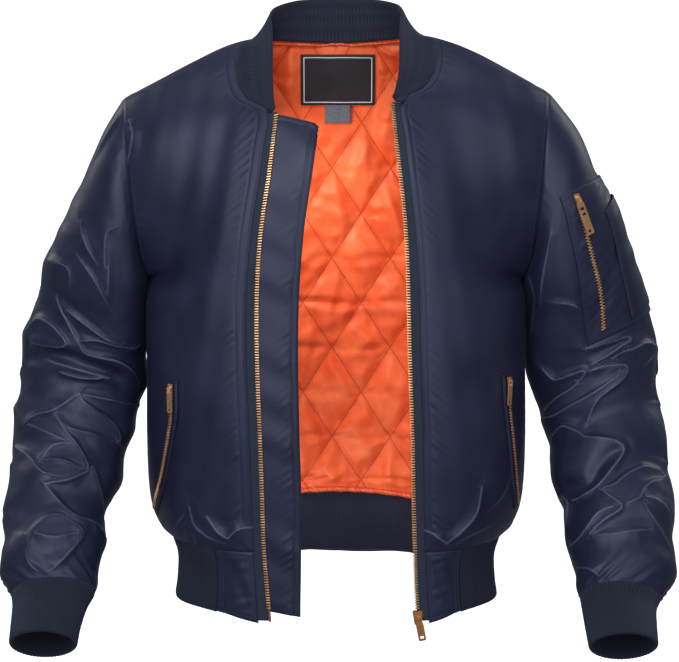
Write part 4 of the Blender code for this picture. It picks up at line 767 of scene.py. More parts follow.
# ---------------------------------------------------------------------------
# Sleeves: each is one tube of the same nylon, set into the armhole, bent at the
# elbow, crumpled from wear, and gathered into its knit cuff.
sleeve_creases = {
    "right": [
        (1.0, [(-330, -30, -313), (-318, -36, -338), (-307, -39, -360)]),
        (1.0, [(-330, -30, -313), (-301, -43, -336), (-276, -42, -354), (-248, -27, -370), (-240, -21, -369)]),
        (1.0, [(-242, -23, -370), (-261, -36, -366), (-284, -41, -360), (-305, -39, -361)]),
        (1.0, [(-305, -39, -361), (-298, -39, -376), (-280, -38, -381), (-263, -34, -385), (-249, -22, -396),
               (-237, -4, -415)]),
        (1.0, [(-372, 4, -352), (-362, -5, -341), (-352, -16, -337), (-334, -30, -346), (-318, -37, -365),
               (-335, -32, -369), (-363, -13, -366)]),
        (1.0, [(-342, -29, -386), (-325, -34, -390), (-301, -37, -396), (-276, -34, -404), (-301, -36, -406),
               (-325, -34, -400)]),
        (-1.0, [(-371, -3, -385), (-337, -31, -379), (-312, -38, -382), (-288, -39, -391), (-262, -29, -403),
               (-235, 2, -421)]),
        (1.0, [(-306, -37, -424), (-320, -43, -434), (-335, -48, -444), (-356, -43, -449), (-369, -39, -458)]),
        (1.0, [(-335, -48, -444), (-319, -56, -461), (-292, -51, -470), (-263, -30, -485)]),
        (1.0, [(-306, -37, -424), (-297, -39, -438), (-270, -31, -459), (-261, -27, -477), (-263, -30, -485)]),
        (1.0, [(-335, -48, -444), (-320, -57, -465), (-304, -65, -484), (-293, -77, -501), (-291, -83, -509)]),
        (1.0, [(-363, -44, -461), (-338, -59, -469), (-314, -65, -479)]),
        (1.0, [(-314, -65, -479), (-333, -70, -483), (-343, -78, -493)]),
        (1.0, [(-343, -82, -497), (-319, -85, -498), (-296, -85, -509)]),
        (1.0, [(-381, -40, -488), (-360, -70, -495), (-341, -95, -510), (-308, -95, -516)]),
        (1.0, [(-291, -84, -510), (-312, -98, -518), (-338, -104, -522)]),
        (1.0, [(-338, -104, -522), (-319, -116, -542), (-301, -126, -556), (-286, -119, -563),
               (-273, -106, -577)]),
        (1.0, [(-285, -77, -509), (-279, -80, -537), (-274, -78, -558)]),
        (1.0, [(-351, -150, -580), (-345, -140, -564), (-323, -130, -553), (-304, -133, -562),
               (-293, -136, -575), (-305, -154, -592), (-319, -166, -607), (-334, -169, -612),
               (-349, -160, -601), (-351, -150, -582)]),
        (1.0, [(-342, -148, -571), (-322, -151, -575), (-295, -137, -574)]),
        (1.0, [(-305, -37, -425), (-271, -24, -433), (-243, 21, -445)]),
        (0.6, [(-343, -12, -266), (-316, -42, -273), (-313, -45, -292)]),
        (0.6, [(-303, -49, -260), (-285, -57, -283), (-270, -54, -313)]),
        (0.6, [(-266, -63, -248), (-266, -61, -279), (-269, -55, -310)]),
        (0.6, [(-253, -18, -82), (-256, -28, -100), (-272, -29, -125), (-279, -28, -139)]),
        (0.6, [(-245, -56, -153), (-244, -60, -190), (-239, -54, -250)]),
        (0.6, [(-259, -65, -226), (-268, -64, -234), (-270, -61, -268), (-268, -55, -306)]),
        (0.6, [(-299, -45, -222), (-292, -54, -245), (-280, -59, -268)]),
    ],
    "left": [
        (1.0, [(251, -17, -400), (260, -19, -408), (266, -23, -408), (281, -31, -401), (294, -35, -396),
               (296, -35, -401), (291, -33, -408), (281, -30, -415)]),
        (1.0, [(297, -35, -399), (315, -36, -392), (336, -34, -390), (344, -32, -393), (343, -34, -402),
               (331, -39, -414), (315, -41, -427), (306, -43, -438), (300, -44, -454)]),
        (1.0, [(253, -3, -458), (262, -19, -453), (281, -33, -439), (305, -40, -424), (327, -38, -408),
               (340, -34, -398)]),
        (1.0, [(253, -3, -450), (264, -18, -433), (281, -30, -419), (294, -34, -405)]),
        (1.0, [(305, -36, -387), (323, -36, -377), (340, -31, -366), (350, -26, -361), (346, -28, -357),
               (331, -33, -361), (298, -38, -369)]),
        (1.0, [(327, -35, -383), (338, -32, -375), (353, -26, -372), (372, -12, -366), (387, 14, -374)]),
        (1.0, [(261, -15, -479), (269, -26, -466), (275, -32, -465), (288, -47, -469), (295, -56, -474),
               (312, -65, -474), (328, -68, -477), (338, -72, -485), (331, -80, -498), (318, -90, -513),
               (305, -97, -527), (289, -94, -539), (277, -80, -548)]),
        (-1.0, [(330, -74, -488), (317, -78, -496), (307, -81, -508), (298, -86, -520), (287, -81, -528),
               (271, -61, -532)]),
        (1.0, [(305, -97, -527), (317, -113, -535), (329, -123, -544), (325, -127, -550), (309, -129, -560),
               (293, -129, -576)]),
        (1.0, [(327, -123, -544), (314, -122, -547), (302, -123, -555), (292, -124, -569), (283, -121, -582),
               (276, -113, -590)]),
        (1.0, [(329, -123, -544), (340, -120, -540), (351, -114, -536), (356, -105, -528), (368, -92, -522),
               (387, -64, -520)]),
        (1.0, [(351, -114, -536), (361, -123, -555), (373, -126, -575), (384, -128, -592)]),
        (1.0, [(351, -114, -536), (367, -110, -539), (378, -106, -546), (386, -103, -555)]),
        (1.0, [(307, -98, -527), (322, -103, -524), (339, -93, -514), (359, -80, -506), (383, -65, -512)]),
        (0.6, [(291, -128, -578), (316, -138, -574), (343, -138, -570), (369, -127, -571)]),
        (1.0, [(270, -58, -544), (276, -78, -548), (274, -90, -562), (271, -93, -580)]),
        (1.0, [(301, -162, -619), (293, -153, -613), (280, -132, -614)]),
        (0.6, [(373, -15, -391), (382, -2, -383), (384, 3, -377)]),
        (0.6, [(251, -63, -234), (246, -55, -276), (244, -42, -312)]),
        (0.6, [(258, -50, -314), (281, -51, -317), (297, -45, -333), (311, -40, -348)]),
        (0.6, [(286, -54, -290), (293, -50, -311), (306, -42, -339)]),
        (0.6, [(244, 68, -241), (235, -37, -289), (235, -17, -350)]),
    ],
}
outer_creases = [
    (0.9, [(300, 60, -250), (340, 52, -285), (362, 30, -300)]),
    (0.9, [(262, 70, -330), (310, 66, -345), (352, 50, -338)]),
    (-0.9, [(268, 62, -372), (318, 60, -385), (372, 36, -372)]),
    (1.0, [(270, 52, -405), (322, 50, -420), (385, 20, -405)]),
    (0.9, [(282, 36, -440), (330, 28, -462), (388, 0, -445)]),
    (0.8, [(300, 0, -500), (345, -18, -520), (392, -40, -508)]),
    (0.9, [(318, -40, -560), (352, -52, -580), (380, -80, -566)]),
    (0.7, [(280, 74, -180), (318, 66, -215), (330, 60, -262)]),
]
TUCKED = 2  # rows at the sleeve's head that lie under the body's edge
sleeve_up = np.concatenate([[-0.30, -0.15], np.linspace(0, 26, 246)])
sleeve_across = np.linspace(0, 18, 184, endpoint=False)
ARMPIT = -0.288
patch = grown("sleeve_patch", (0.86, -0.44, 0.26), (0.260, -0.067, -0.190), (0.308, 0.056, -0.186), 72, 56)
sleeve_shell = {}
for hand, name in SIDES:
    coarse = tube_grid(*face_of("sleeve_" + name, wall=0.0014), (hand * 0.252, 0.005, -0.066))
    panel = refined(coarse, sleeve_up, sleeve_across, None, True)
    cut, sleeve_shell[name] = flat_of(panel), panel
    down, around = panel.up - panel.up[TUCKED], panel.across[:, :-1]
    below, cuff_gap = np.maximum(down, 0), panel.height - panel.up
    rim = np.minimum(below, cuff_gap)
    swirl = np.zeros(panel.at.shape[:2])
    noise = np.random.default_rng(7 + hand)
    for wave, size in ((0.110, 0.0022), (0.070, 0.0016), (0.042, 0.0011)):
        for _ in range(3):
            way = noise.normal(size=3)
            way /= np.linalg.norm(way)
            turn = (panel.at @ way) * 2 * math.pi / wave + noise.uniform(0, 6.3)
            swirl += size * (1 - 2 * np.abs(np.sin(turn / 2 + 0.5 * np.sin(turn * 0.37)))) / 1.8
    # The cloth lies flat under the patch of the left sleeve's pocket.
    free = fade(edge_distance(panel.at, patch.at[::2, ::2]), 0.001, 0.008) if name == "left" else 1.0
    mirrored = [(scale, [(x * hand, y, z) for x, y, z in line]) for scale, line in outer_creases]
    folds, fold_side, fold_near = creased(panel, sleeve_creases[name] + mirrored, 0.0080, 0.0062)
    fold_near *= fade(rim, 0.003, 0.015) * free
    tuck = 0.0010 + 0.0075 * fade(panel.normal[..., 2], 0.25, 0.60)
    armpit = fade(-panel.normal[..., 0] * hand, 0.3, 0.8) * bell(panel.at[..., 2] - ARMPIT, 0.024)
    panel.push(
        seam_relief(rim)
        - tuck * (down < -0.0001)
        + 0.50 * swirl * fade(rim, 0.01, 0.06) * fade(panel.up, 0.02, 0.22) * free
        + folds * fade(rim, 0.003, 0.022) * free
        + puckers(around, below, 0.002, 0.013, 0.016, 0.0008, 41 + hand, 0.3)
        + puckers(around, cuff_gap, 0.002, 0.026, 0.0185, 0.0026, 44 + hand, 0.25)
        + 0.0035 * armpit
    )
    marks = {"crease_side": fold_side, "crease_near": fold_near}
    piece = sewn_panel("sleeve_shell_" + name, panel, nylon, depth=0.003, marks=marks)
    declare(piece, "sleeve_" + name, slot="navy_nylon", cut=cut)

# ---------------------------------------------------------------------------
# Rib knit: collar, cuffs and waistband are doubled rib jersey in matt navy wool
# mix, folded at the free edge and sewn under the shell's edge at the other.
KNIT_GAUGE = 0.0017  # one row of loops
COLLAR_RIBS, CUFF_RIBS, WAIST_RIBS = 118, 54, 240
KNIT_WALL, KNIT_TUCK, RIB_RELIEF = 0.0034, 0.0045, 0.0008


def knit_finish(name):
    knit = Finish(
        name,
        Base_Color=(0.012, 0.015, 0.031),
        Roughness=0.86,
        Specular_IOR_Level=0.25,
        Sheen_Weight=0.18,
        Sheen_Roughness=0.5,
        Sheen_Tint=(0.4, 0.46, 0.7),
    )
    place, (_, u, v) = knit.place(), knit.cloth_uv()
    rib = u.wave(1)
    loops = ((v * (2 * math.pi / KNIT_GAUGE)) + rib * 1.4).wave()
    fuzz, patchy = knit.noise(place, 900.0, 2.0, 0.7), knit.noise(place, 22.0, 3.0)
    # Mostly tone that differs at random (fuzz and patches); the rib and loop terms are painted light, paler on one
    # flank of each rib and on the raised part of each loop.
    light = (fuzz * 0.35 + loops * 0.10 + patchy * 0.35 + rib * 0.09 + 0.14).between(0.25, 0.85)
    shade = knit.mix(light, (0.0062, 0.0078, 0.0180), (0.0160, 0.0195, 0.0400))
    stitch = knit.bump(loops * 0.5 + fuzz * 0.5, 0.35, 0.0004)
    return knit.feed(Base_Color=shade, Roughness=fuzz * 0.12 + 0.80, Normal=stitch)


knit = knit_finish("navy_rib_knit")


def knitted(name, node, base, ribs, relief, wall, tuck, ring=False):
    """A doubled rib knit on a panel whose first row is the sewn edge, tucked in, and whose last row is the fold."""
    hidden = base.at[0] + unit(base.at[0] - base.at[1]) * np.reshape(tuck, (-1, 1)) - base.normal[0] * 0.0012
    at, normal = np.concatenate([hidden[None], base.at]), np.concatenate([base.normal[:1], base.normal])
    turns = base.across[len(base.at) // 2] / (base.width.mean() / ribs)
    if ring:
        turns = turns[:-1] * round(turns[-1]) / turns[-1]
    rib = ((0.5 + 0.5 * np.cos(2 * math.pi * turns)) ** 0.7)[:, None] - 0.5
    depth = wall / 2
    core = at - normal * depth
    outward = unit(at[-1] - at[-2])
    rows = [point + face * (depth + relief * rib) for point, face in zip(core, normal)]
    for turn in np.radians((45, 90, 135)):
        side = math.cos(turn) * normal[-1] + math.sin(turn) * outward
        rows.append(core[-1] + side * (depth + relief * 0.6 * rib))
    rows += [point - face * (depth + relief * 0.5 * rib) for point, face in zip(core[::-1], normal[::-1])]
    grid = np.array(rows + rows[:1])
    wide = np.append(turns, turns[-1] + turns[1]) if ring else turns
    u, v = np.meshgrid(wide, run_of(grid[:, 0]))
    count, total = grid.shape[1], len(grid) - 1
    quads, uv = grid_quads(len(grid), count, ring, base.side), grid_uv(u, v, base.side)
    quads = np.where(quads >= total * count, quads - total * count, quads)
    if not ring:
        caps = []
        for column in (0, count - 1):
            for i in range(len(at) + 1):
                a, b, c, d = (row * count + column for row in (i, i + 1, total - 2 - i, total - 1 - i))
                if b != c:
                    flip = (column > 0) != (base.side < 0)
                    caps.append([d, c, b, a] if flip else [a, b, c, d])
        quads = np.concatenate([quads, np.array(caps)])
        uv = np.concatenate([uv, np.zeros((len(caps), 4, 2))])
    declare(mesh_object(name, grid[:-1], quads, uv, knit), node, slot="navy_rib", cut=flat_of(base))


# The coarse grids have a column on each rib and one in each dip; the fine ribs stand on the dips.
points, inside = face_of("collar", (0, 0.42, 0.91), 38)
faces = face_of("collar", None, 38, without=inside)[1]
grid = panel_grid(points, faces, (-0.0760, -0.0920, -0.0900), (0.0720, -0.0870, -0.0800)).transpose(1, 0, 2)
grid = np.concatenate([grid, 2 * grid[:, -1:] - grid[:, -2:-1]], 1)
base = refined(grid[:, ::2], 14, COLLAR_RIBS * 6 + 1, (0, 0, 1))
outward = base.at - base.at.reshape(-1, 3).mean(0)
if (base.normal * outward * np.array([1, 1, 0])).sum() < 0:
    base.side = -base.side
    base.refresh()
collar_tuck = 0.0036 + 0.0024 * fade(-base.at[0, :, 1], -0.035, -0.005)
knitted("collar_knit", "collar", base, COLLAR_RIBS, 0.0004, 0.0030, collar_tuck)

for hand, name in SIDES:
    grid = tube_grid(*face_of("cuff_" + name, None, 45), (hand * 0.33, -0.14, -0.62))
    inner, outer = (np.linalg.norm(grid[:, k::2] - grid.mean(1, keepdims=True), axis=2).mean() for k in (0, 1))
    dips = grid[:, int(outer < inner) :: 2]
    base = refined(dips, 16, np.linspace(0, dips.shape[1], CUFF_RIBS * 7, endpoint=False), None, True)
    knitted("cuff_knit_" + name, "cuff_" + name, base, CUFF_RIBS, RIB_RELIEF, KNIT_WALL, KNIT_TUCK, True)

grid = panel_grid(*face_of("waistband", (0, 1, 0), 45), (0.150, -0.102, -0.599), (-0.143, -0.104, -0.599))
base = refined(grid[:, ::2], 14, WAIST_RIBS * 6 + 1, (0, 1, 0))
x, y = base.at[..., 0], base.at[..., 1]
# The fold at the back is lifted where it would hang below the line of the front edges.
lift = 0.0080 * fade(x, 0.020, 0.100) * (1 - fade(x, 0.115, 0.165))
lift += 0.003 * fade(x, -0.12, -0.06) * (1 - fade(x, -0.04, 0.0))
base.at[..., 2] += lift * (base.up / base.height) ** 1.5 * fade(y, 0.02, 0.06)
base.refresh()
knitted("waistband_knit", "waistband", base, WAIST_RIBS, RIB_RELIEF, KNIT_WALL, KNIT_TUCK)

# ---------------------------------------------------------------------------
# Quilted lining: orange satin with light wadding, machine quilted in tall
# diamonds, sewn in along the neck, the zip facings, the armholes and the waist.
HALF_CELL = np.array([0.0375, 0.0570])  # half the width and half the height of a diamond
CELL_START = np.array([-0.0056, -0.1576])  # x and z of a crossing of the quilting
LINING_WALL = 0.0009


def quilted_satin(name):
    satin = Finish(
        name,
        Base_Color=(0.80, 0.13, 0.035),
        Roughness=0.42,
        Specular_IOR_Level=0.35,
        Specular_Tint=(1.0, 0.72, 0.55),
        Sheen_Weight=0.06,
        Sheen_Tint=(1.0, 0.6, 0.4),
    )
    place, (_, a, b) = satin.place(), satin.cloth_uv()
    gaps = [(line - line.math("ROUND", line)).size() for line in ((a + b) * 0.5, (a - b) * 0.5)]
    gap = gaps[0].math("MINIMUM", *gaps)
    sewn, near = 1 - gap.between(0.004, 0.013), 1 - gap.between(0.0, 0.11)
    cloudy = satin.noise(place, 26.0, 4.0, 0.6)
    threads = satin.noise(satin.stretched(place, (900.0, 900.0, 140.0)), 1.0, 1.0)
    shade = satin.mix(cloudy.between(0.30, 0.72), (0.76, 0.100, 0.026), (0.88, 0.175, 0.060))
    # Painted shade: the satin is mixed towards a darker orange in the dips on both sides of each quilted line.
    shade = satin.mix(near * 0.35, shade, (0.62, 0.068, 0.014))
    # The sewn lines themselves are mixed towards a dark orange: the thread's own colour and painted shade in the sunk
    # line.
    shade = satin.mix(sewn * 0.55, shade, (0.34, 0.032, 0.008))
    crinkle = satin.noise(place, 70.0, 4.0, 0.65)
    sunk = satin.bump(1 - sewn, 0.6, 0.0012)
    normal = satin.bump(crinkle * near + threads * 0.12, 0.40, 0.0016, sunk)
    return satin.feed(Base_Color=shade, Roughness=cloudy * 0.14 + threads * 0.05 + 0.34, Normal=normal)


satin = quilted_satin("orange_quilted_satin")


def lined(panel, a, b, puff, seed, rim):
    """A shell grid moved inwards and filled with quilted diamonds: a and b count half diamonds across and up."""
    p, q = (a + b) / 2, (a - b) / 2
    off_p, off_q = p - np.round(p), q - np.round(q)
    fill = np.abs(np.sin(math.pi * p) * np.sin(math.pi * q)) ** 0.52
    line_gap = np.minimum(np.abs(off_p), np.abs(off_q))
    crumple = 0.0006 * ripple(a * HALF_CELL[0] * 0.9 + b * 0.02, 0.017, seed) * np.exp(-line_gap / 0.12)
    crumple += 0.0008 * ripple(b * HALF_CELL[1] + a * 0.012, 0.034, seed + 3)
    for number, size in enumerate((0.0054, 0.0032)):
        # Each diamond has creases of its own, turned by chance.
        chance = np.sin(np.floor(p) * 12.9898 + np.floor(q) * 78.233 + number * 37.7) * 43758.5453
        turn = (chance - np.floor(chance)) * math.pi
        place = (a * 0.75 * np.cos(turn) + b * np.sin(turn)) * (3.6 + 3.0 * number) + chance % 7
        crumple += size * (0.5 - np.abs(np.sin(place))) * fill
    # Small spokes run out from each crossing.
    wide, high = (off_p + off_q) * HALF_CELL[0], (off_p - off_q) * HALF_CELL[1]
    away, ray = np.hypot(wide, high), np.arctan2(high, wide)
    chance = np.abs(np.sin(np.round(p) * 5.3 + np.round(q) * 9.1 + seed))
    spokes = 0.5 - np.abs(np.sin(ray * (2.5 + np.round(2 * chance)) + chance * 6))
    crumple += 0.0056 * spokes * np.exp(-away / 0.016) * fade(away, 0.0005, 0.006)
    # The wadding sags in folds across, at the rows of crossings, the deepest one in the fourth row down.
    row = np.round(b)
    chance = np.sin(row * 7.13 + np.floor(a / 2 + 0.3) * 3.7 + seed) * 0.5 + 0.5
    sag = np.where(row == -3, 1.0, 0.25 + 0.35 * chance)
    crumple -= 0.0036 * sag * np.exp(-np.abs(b - row + 0.05 * np.sin(a * 2.1)) / 0.045)
    crumple += 0.0022 * sag * bell(np.abs(b - row) - 0.17, 0.10)
    x, z = panel.at[..., 0], panel.at[..., 2]
    label = (1 - fade(np.abs(x - 0.002), 0.044, 0.056)) * fade(z, -0.120, -0.104)
    lift = (puff * fill + crumple) * fade(rim, 0.0, 0.02) * (1 - label)
    return panel.at - panel.normal * (0.0024 + 0.0048 * fade(rim, 0.0, 0.030) + lift)[..., None]


lining_up = np.linspace(0, 23, 226)
lining_halves = [refined(grid, lining_up, np.linspace(1, 9.6, 92), (0, 1, 0)) for grid in wide_halves]
open_neck = lining_up > NECK_ROW
grids = []
for half in lining_halves:
    a, b = np.moveaxis((half.at[..., [0, 2]] - CELL_START) / HALF_CELL, -1, 0)
    x, neck_gap = half.at[..., 0], edge_distance(half.at, half.at[open_neck, 0])
    gathers = puckers(x, neck_gap, 0.001, 0.026, 0.0095, 0.0030, 66)
    gathers += puckers(x, half.up, 0.001, 0.026, 0.014, 0.0030, 67)
    at = lined(half, a, b, 0.0108, 61, half.rim(open_neck)) - half.normal * gathers[..., None]
    grids.append((at, a, b, -half.side))
lining_back = joined_halves("quilted_lining_back", grids, satin, 0.0004, LINING_WALL)
declare(lining_back, "lining_back", slot="orange_lining", cut=back_cut)

FACING, SIDE_SEAM = 0.0080, 0.0140  # what the lining leaves free at the zip and at the side
for hand, name in SIDES:
    thin = front_plain[name].copy(front_plain[name].at[::2])
    rows = [
        read(line, run, np.linspace(FACING, run[-1] - SIDE_SEAM, 64)) for line, run in zip(thin.at, thin.across)
    ]
    thin = thin.copy(np.array(rows))
    a, b = thin.across / HALF_CELL[0], (thin.at[..., 2] - CELL_START[1]) / HALF_CELL[1]
    at = lined(thin, a, b, 0.0045, 71 + hand, thin.rim())
    quads, uv = grid_quads(*at.shape[:2], False, -thin.side), grid_uv(a, b, -thin.side)
    piece = walled(mesh_object("quilted_lining_front_" + name, at, quads, uv, satin), LINING_WALL)
    declare(piece, "lining_front_" + name, slot="orange_lining", cut=flat_of(thin))

# ---------------------------------------------------------------------------
# Piping and rolled edges of the lining: orange satin rolled over a cord, along
# the neck seam and along the lining's lower edge above the knit waistband.


def piping_satin(name):
    cloth = Finish(name, Base_Color=(0.80, 0.13, 0.035), Roughness=0.42, Specular_IOR_Level=0.4)
    place, (_, u, v) = cloth.place(), cloth.cloth_uv()
    fold, twist = cloth.noise(place, 150.0, 3.0), (v + u * 0.6).wave(0.006)
    # Painted shade and light: the colour goes darker in the hollows and lighter on the ridges of the same folds and
    # twist that the bump raises.
    light = (fold * 0.7 + twist * 0.1 + 0.15).between(0.3, 0.8)
    shade = cloth.mix(light, (0.52, 0.062, 0.014), (0.86, 0.16, 0.045))
    normal = cloth.bump(fold + twist * 0.25, 0.35, 0.0008)
    return cloth.feed(Base_Color=shade, Roughness=fold * 0.15 + 0.33, Normal=normal)


piping = piping_satin("orange_piping_satin")


def swept(name, line, radius, sides, flatten=1.0):
    """A roll of satin along a line of points, closed at both ends. radius may be one number for each point."""
    radius = np.broadcast_to(radius, len(line))
    way = unit(np.gradient(line, axis=0))
    side = unit(np.cross(way, (0, 0, 1)))
    over = np.cross(side, way) * flatten
    turn = 2 * math.pi * np.arange(sides)[:, None] / sides
    rings = line[:, None] + (side[:, None] * np.cos(turn) + over[:, None] * np.sin(turn)) * radius[:, None, None]
    caps = [np.repeat(line[k][None, None], sides, 1) for k in (0, -1)]
    rings = np.concatenate([caps[0], rings, caps[1]])
    around = np.arange(sides + 1) / sides * 2 * math.pi * float(radius.mean())
    u, v = np.meshgrid(around, np.pad(run_of(line), 1, mode="edge"))
    roll = mesh_object(name, rings, grid_quads(len(rings), sides, True, 1), grid_uv(u, v, 1), piping)
    declare(roll, slot="orange_lining")


def resampled(line, count):
    return smooth_weights(len(line), np.linspace(0, len(line) - 1, count)) @ line


neck = [half.at[open_neck, 0] - half.normal[open_neck, 0] * 0.0035 for half in lining_halves]
neck_line = np.concatenate([neck[0][::-1], neck[1]]) + np.array([0, 0, -0.0028])
swept("neck_piping", resampled(neck_line, 160), 0.0017, 8)
hem = [half.at[0] - half.normal[0] * 0.0052 for half in lining_halves]
hem_line = np.concatenate([hem[0][::-1][:-1], hem[1]]) + np.array([0, 0, 0.004])
swell = 0.16 * ripple(np.linspace(0, len(hem_line) - 1, 300) / 300 * 0.6, 0.014, 91)
swept("lining_rolled_edge", resampled(hem_line, 300), 0.0040 * (1 + swell), 10, 0.8)

# ---------------------------------------------------------------------------
# End panels of the waistband: a square of nylon between the knit and the zip on
# each side, folded double, topstitched round and slightly puckered.
end_panels = {}
for hand, name in SIDES:
    inner_x, outer_x = (0.102, 0.147) if hand > 0 else (-0.082, -0.140)
    corners = (inner_x, -0.119, -0.684), (outer_x, -0.098, -0.673)
    places = np.linspace(0, 4, 64), np.linspace(0.5, 4, 44)
    panel = grown("waistband_end_" + name, (hand * 0.4, -0.92, 0), *corners, *places)
    cut, end_panels[name] = flat_of(panel), panel
    rim, x, z = panel.rim(), panel.at[..., 0], panel.at[..., 2]
    panel.push(
        seam_relief(rim, (0.005,))
        - 0.0006 * bell(panel.width - panel.across - 0.0115, 0.0013)
        + 0.0010 * fade(rim, 0.004, 0.02) * ripple(x + 0.5 * z, 0.031, 101 + hand)
        + 0.0006 * ripple(z - 0.3 * x, 0.015, 103 + hand) * fade(rim, 0.003, 0.012)
    )
    piece = sewn_panel("waistband_end_panel_" + name, panel, nylon, wall=0.0012, depth=0.0016)
    declare(piece, "waistband_end_" + name, slot="navy_nylon", cut=cut)

# ---------------------------------------------------------------------------
# Wind flap: a long double strip of nylon sewn behind the zip of the wearer's
# right front, with a rounded top corner and its free edges bound.
BINDING = 0.0075  # width of the bound edge
CORNER = 0.012
places = np.linspace(0, 21, 330), np.linspace(0, 4, 40)
flap = grown("wind_flap", (0, -1, 0), (-0.092, -0.115, -0.670), (-0.042, -0.118, -0.676), *places)
share, from_top = flap.across / flap.width, flap.height - flap.up
flap.at[..., 2] -= 0.011 * fade(share, 0.15, 1.15) * (1 - fade(from_top, 0.0, 0.07))
flap.refresh()
from_top, from_edge = flap.height - flap.up, flap.width - flap.across
right, high = np.clip(1 - from_edge / CORNER, 0, 1), np.clip(1 - from_top / CORNER, 0, 1)
aside, upward = unit(np.gradient(flap.at, axis=1)), unit(np.gradient(flap.at, axis=0))
flap.at -= aside * (CORNER * right * (1 - np.sqrt(1 - high**2 / 2)))[..., None]
flap.at -= upward * (CORNER * high * (1 - np.sqrt(1 - right**2 / 2)))[..., None]
flap.refresh()
cut = flat_of(flap)
bound = np.minimum(from_top, from_edge)
rim = np.minimum(bound, np.minimum(flap.up, flap.across))
flap.push(
    -0.0008 * bell(rim, 0.0020)
    - 0.0007 * bell(bound - BINDING, 0.0011)
    + puckers(flap.up, from_edge, 0.0085, 0.010, 0.012, 0.0008, 121, 0.8) * fade(from_edge, 0.007, 0.010)
    + puckers(flap.up, flap.across, 0.001, 0.012, 0.011, 0.0009, 122, 0.8)
    + 0.0011 * ripple(flap.up + 0.4 * flap.across, 0.060, 123) * fade(rim, 0.003, 0.015)
)


def bound_nylon(name):
    """The shell's nylon, a little bluer on the bound edge, with painted shade that darkens it beside the binding."""
    cloth = navy_nylon(name)
    edge = cloth.mark("edge_gap")
    binding, groove = 1 - edge.between(0.0068, 0.0080), 1 - (edge - 0.0076).size().between(0.0002, 0.0010)
    shade = Value(cloth, cloth.shader.inputs["Base Color"].links[0].from_socket)
    shade = cloth.mix(binding * 0.75, shade, (0.0120, 0.0190, 0.0380))
    # Painted shade: the sunk line beside the binding is mixed towards near black.
    return cloth.feed(Base_Color=cloth.mix(groove * 0.7, shade, (0.0040, 0.0048, 0.0105)))


bound_edge = bound_nylon("navy_nylon_bound_edge")
piece = sewn_panel("wind_flap_panel", flap, bound_edge, wall=0.0018, depth=0.0012, marks={"edge_gap": bound})
declare(piece, "wind_flap", slot="navy_nylon", cut=cut)

# ---------------------------------------------------------------------------
# Front zip: two woven tapes sewn under the front edges, each with a row of cast
# metal teeth; the slider, its pull and the pin are the CAD's own solids.


def woven_tape(name):
    tape = Finish(name, Base_Color=(0.016, 0.035, 0.060), Roughness=0.72, Specular_IOR_Level=0.3, Sheen_Weight=0.12)
    place, (_, u, v) = tape.place(), tape.cloth_uv()
    herring = (u.wave(0.0030).size() * 0.0011 + v).wave(0.0009)
    weave = herring * 0.5 + u.wave(0.0008) * 0.25
    fuzz = tape.noise(place, 500.0, 2.0)
    light = (weave * 0.3 + fuzz * 0.5 + 0.2).between(0.1, 0.9)
    shade = tape.mix(light, (0.0085, 0.0145, 0.0300), (0.0190, 0.0310, 0.0600))
    normal = tape.bump(weave + fuzz * 0.4, 0.4, 0.0003)
    return tape.feed(Base_Color=shade, Roughness=fuzz * 0.15 + 0.65, Normal=normal)


def gold_finish(name, tone=1.0, pale=1.0):
    """Copper gold: tone makes it darker or lighter, and a lower pale redder."""
    metal = Finish(name, Base_Color=(0.80, 0.46, 0.20), Metallic=0.86, Roughness=0.27)
    place = metal.place()
    worn = metal.noise(place, 90.0, 3.0, 0.55)
    fine = metal.noise(metal.stretched(place, (3500.0, 3500.0, 600.0)), 1.0, 2.0)
    dark, light = (
        (red * tone, green * tone * pale, blue * tone * pale**2)
        for red, green, blue in ((0.74, 0.410, 0.175), (0.95, 0.610, 0.330))
    )
    shade = metal.mix(worn.between(0.35, 0.70), dark, light)
    normal = metal.bump(fine * 0.4 + worn, 0.05, 0.0002)
    return metal.feed(Base_Color=shade, Roughness=worn * 0.16 + fine * 0.06 + 0.22, Normal=normal)


tape_finish = woven_tape("teal_zip_tape")
gold = gold_finish("copper_gold_metal")
gold_teeth = gold_finish("copper_gold_teeth", 1.04)
gold_slider = gold_finish("copper_gold_slider", 0.66, 0.80)


def zip_tooth():
    """One cast tooth, lying along X with its row along Y: a bevelled bar with a waisted neck."""
    bpy.ops.object.select_all(action="DESELECT")
    bpy.ops.mesh.primitive_cube_add(size=1)
    tooth = bpy.context.object
    bpy.ops.object.mode_set(mode="EDIT")
    bpy.ops.mesh.select_all(action="SELECT")
    bpy.ops.transform.resize(value=(0.0052, 0.00145, 0.0024))
    bpy.ops.mesh.bevel(offset=0.00042, segments=1, affect="EDGES")
    bpy.ops.object.mode_set(mode="OBJECT")
    points = np.array([v.co[:] for v in tooth.data.vertices])
    faces = [list(p.vertices) for p in tooth.data.polygons]
    bpy.data.objects.remove(tooth)
    points[:, 1] *= 1 + 0.22 * np.clip(points[:, 0] / 0.0021, -1, 1)
    return points, faces


tooth, tooth_faces = zip_tooth()


def copies(name, shape, faces, placed, material):
    """One mesh of many copies of a small shape: placed holds each copy's three axes, as rows, and its centre."""
    points = np.concatenate([shape @ axes + centre for axes, centre in placed])
    repeated = [[v + k * len(shape) for v in face] for k in range(len(placed)) for face in faces]
    mesh = bpy.data.meshes.new(name)
    mesh.from_pydata(points.tolist(), [], repeated)
    mesh.materials.append(material)
    mesh.update()
    made = bpy.data.objects.new(name, mesh)
    bpy.context.collection.objects.link(made)
    return made


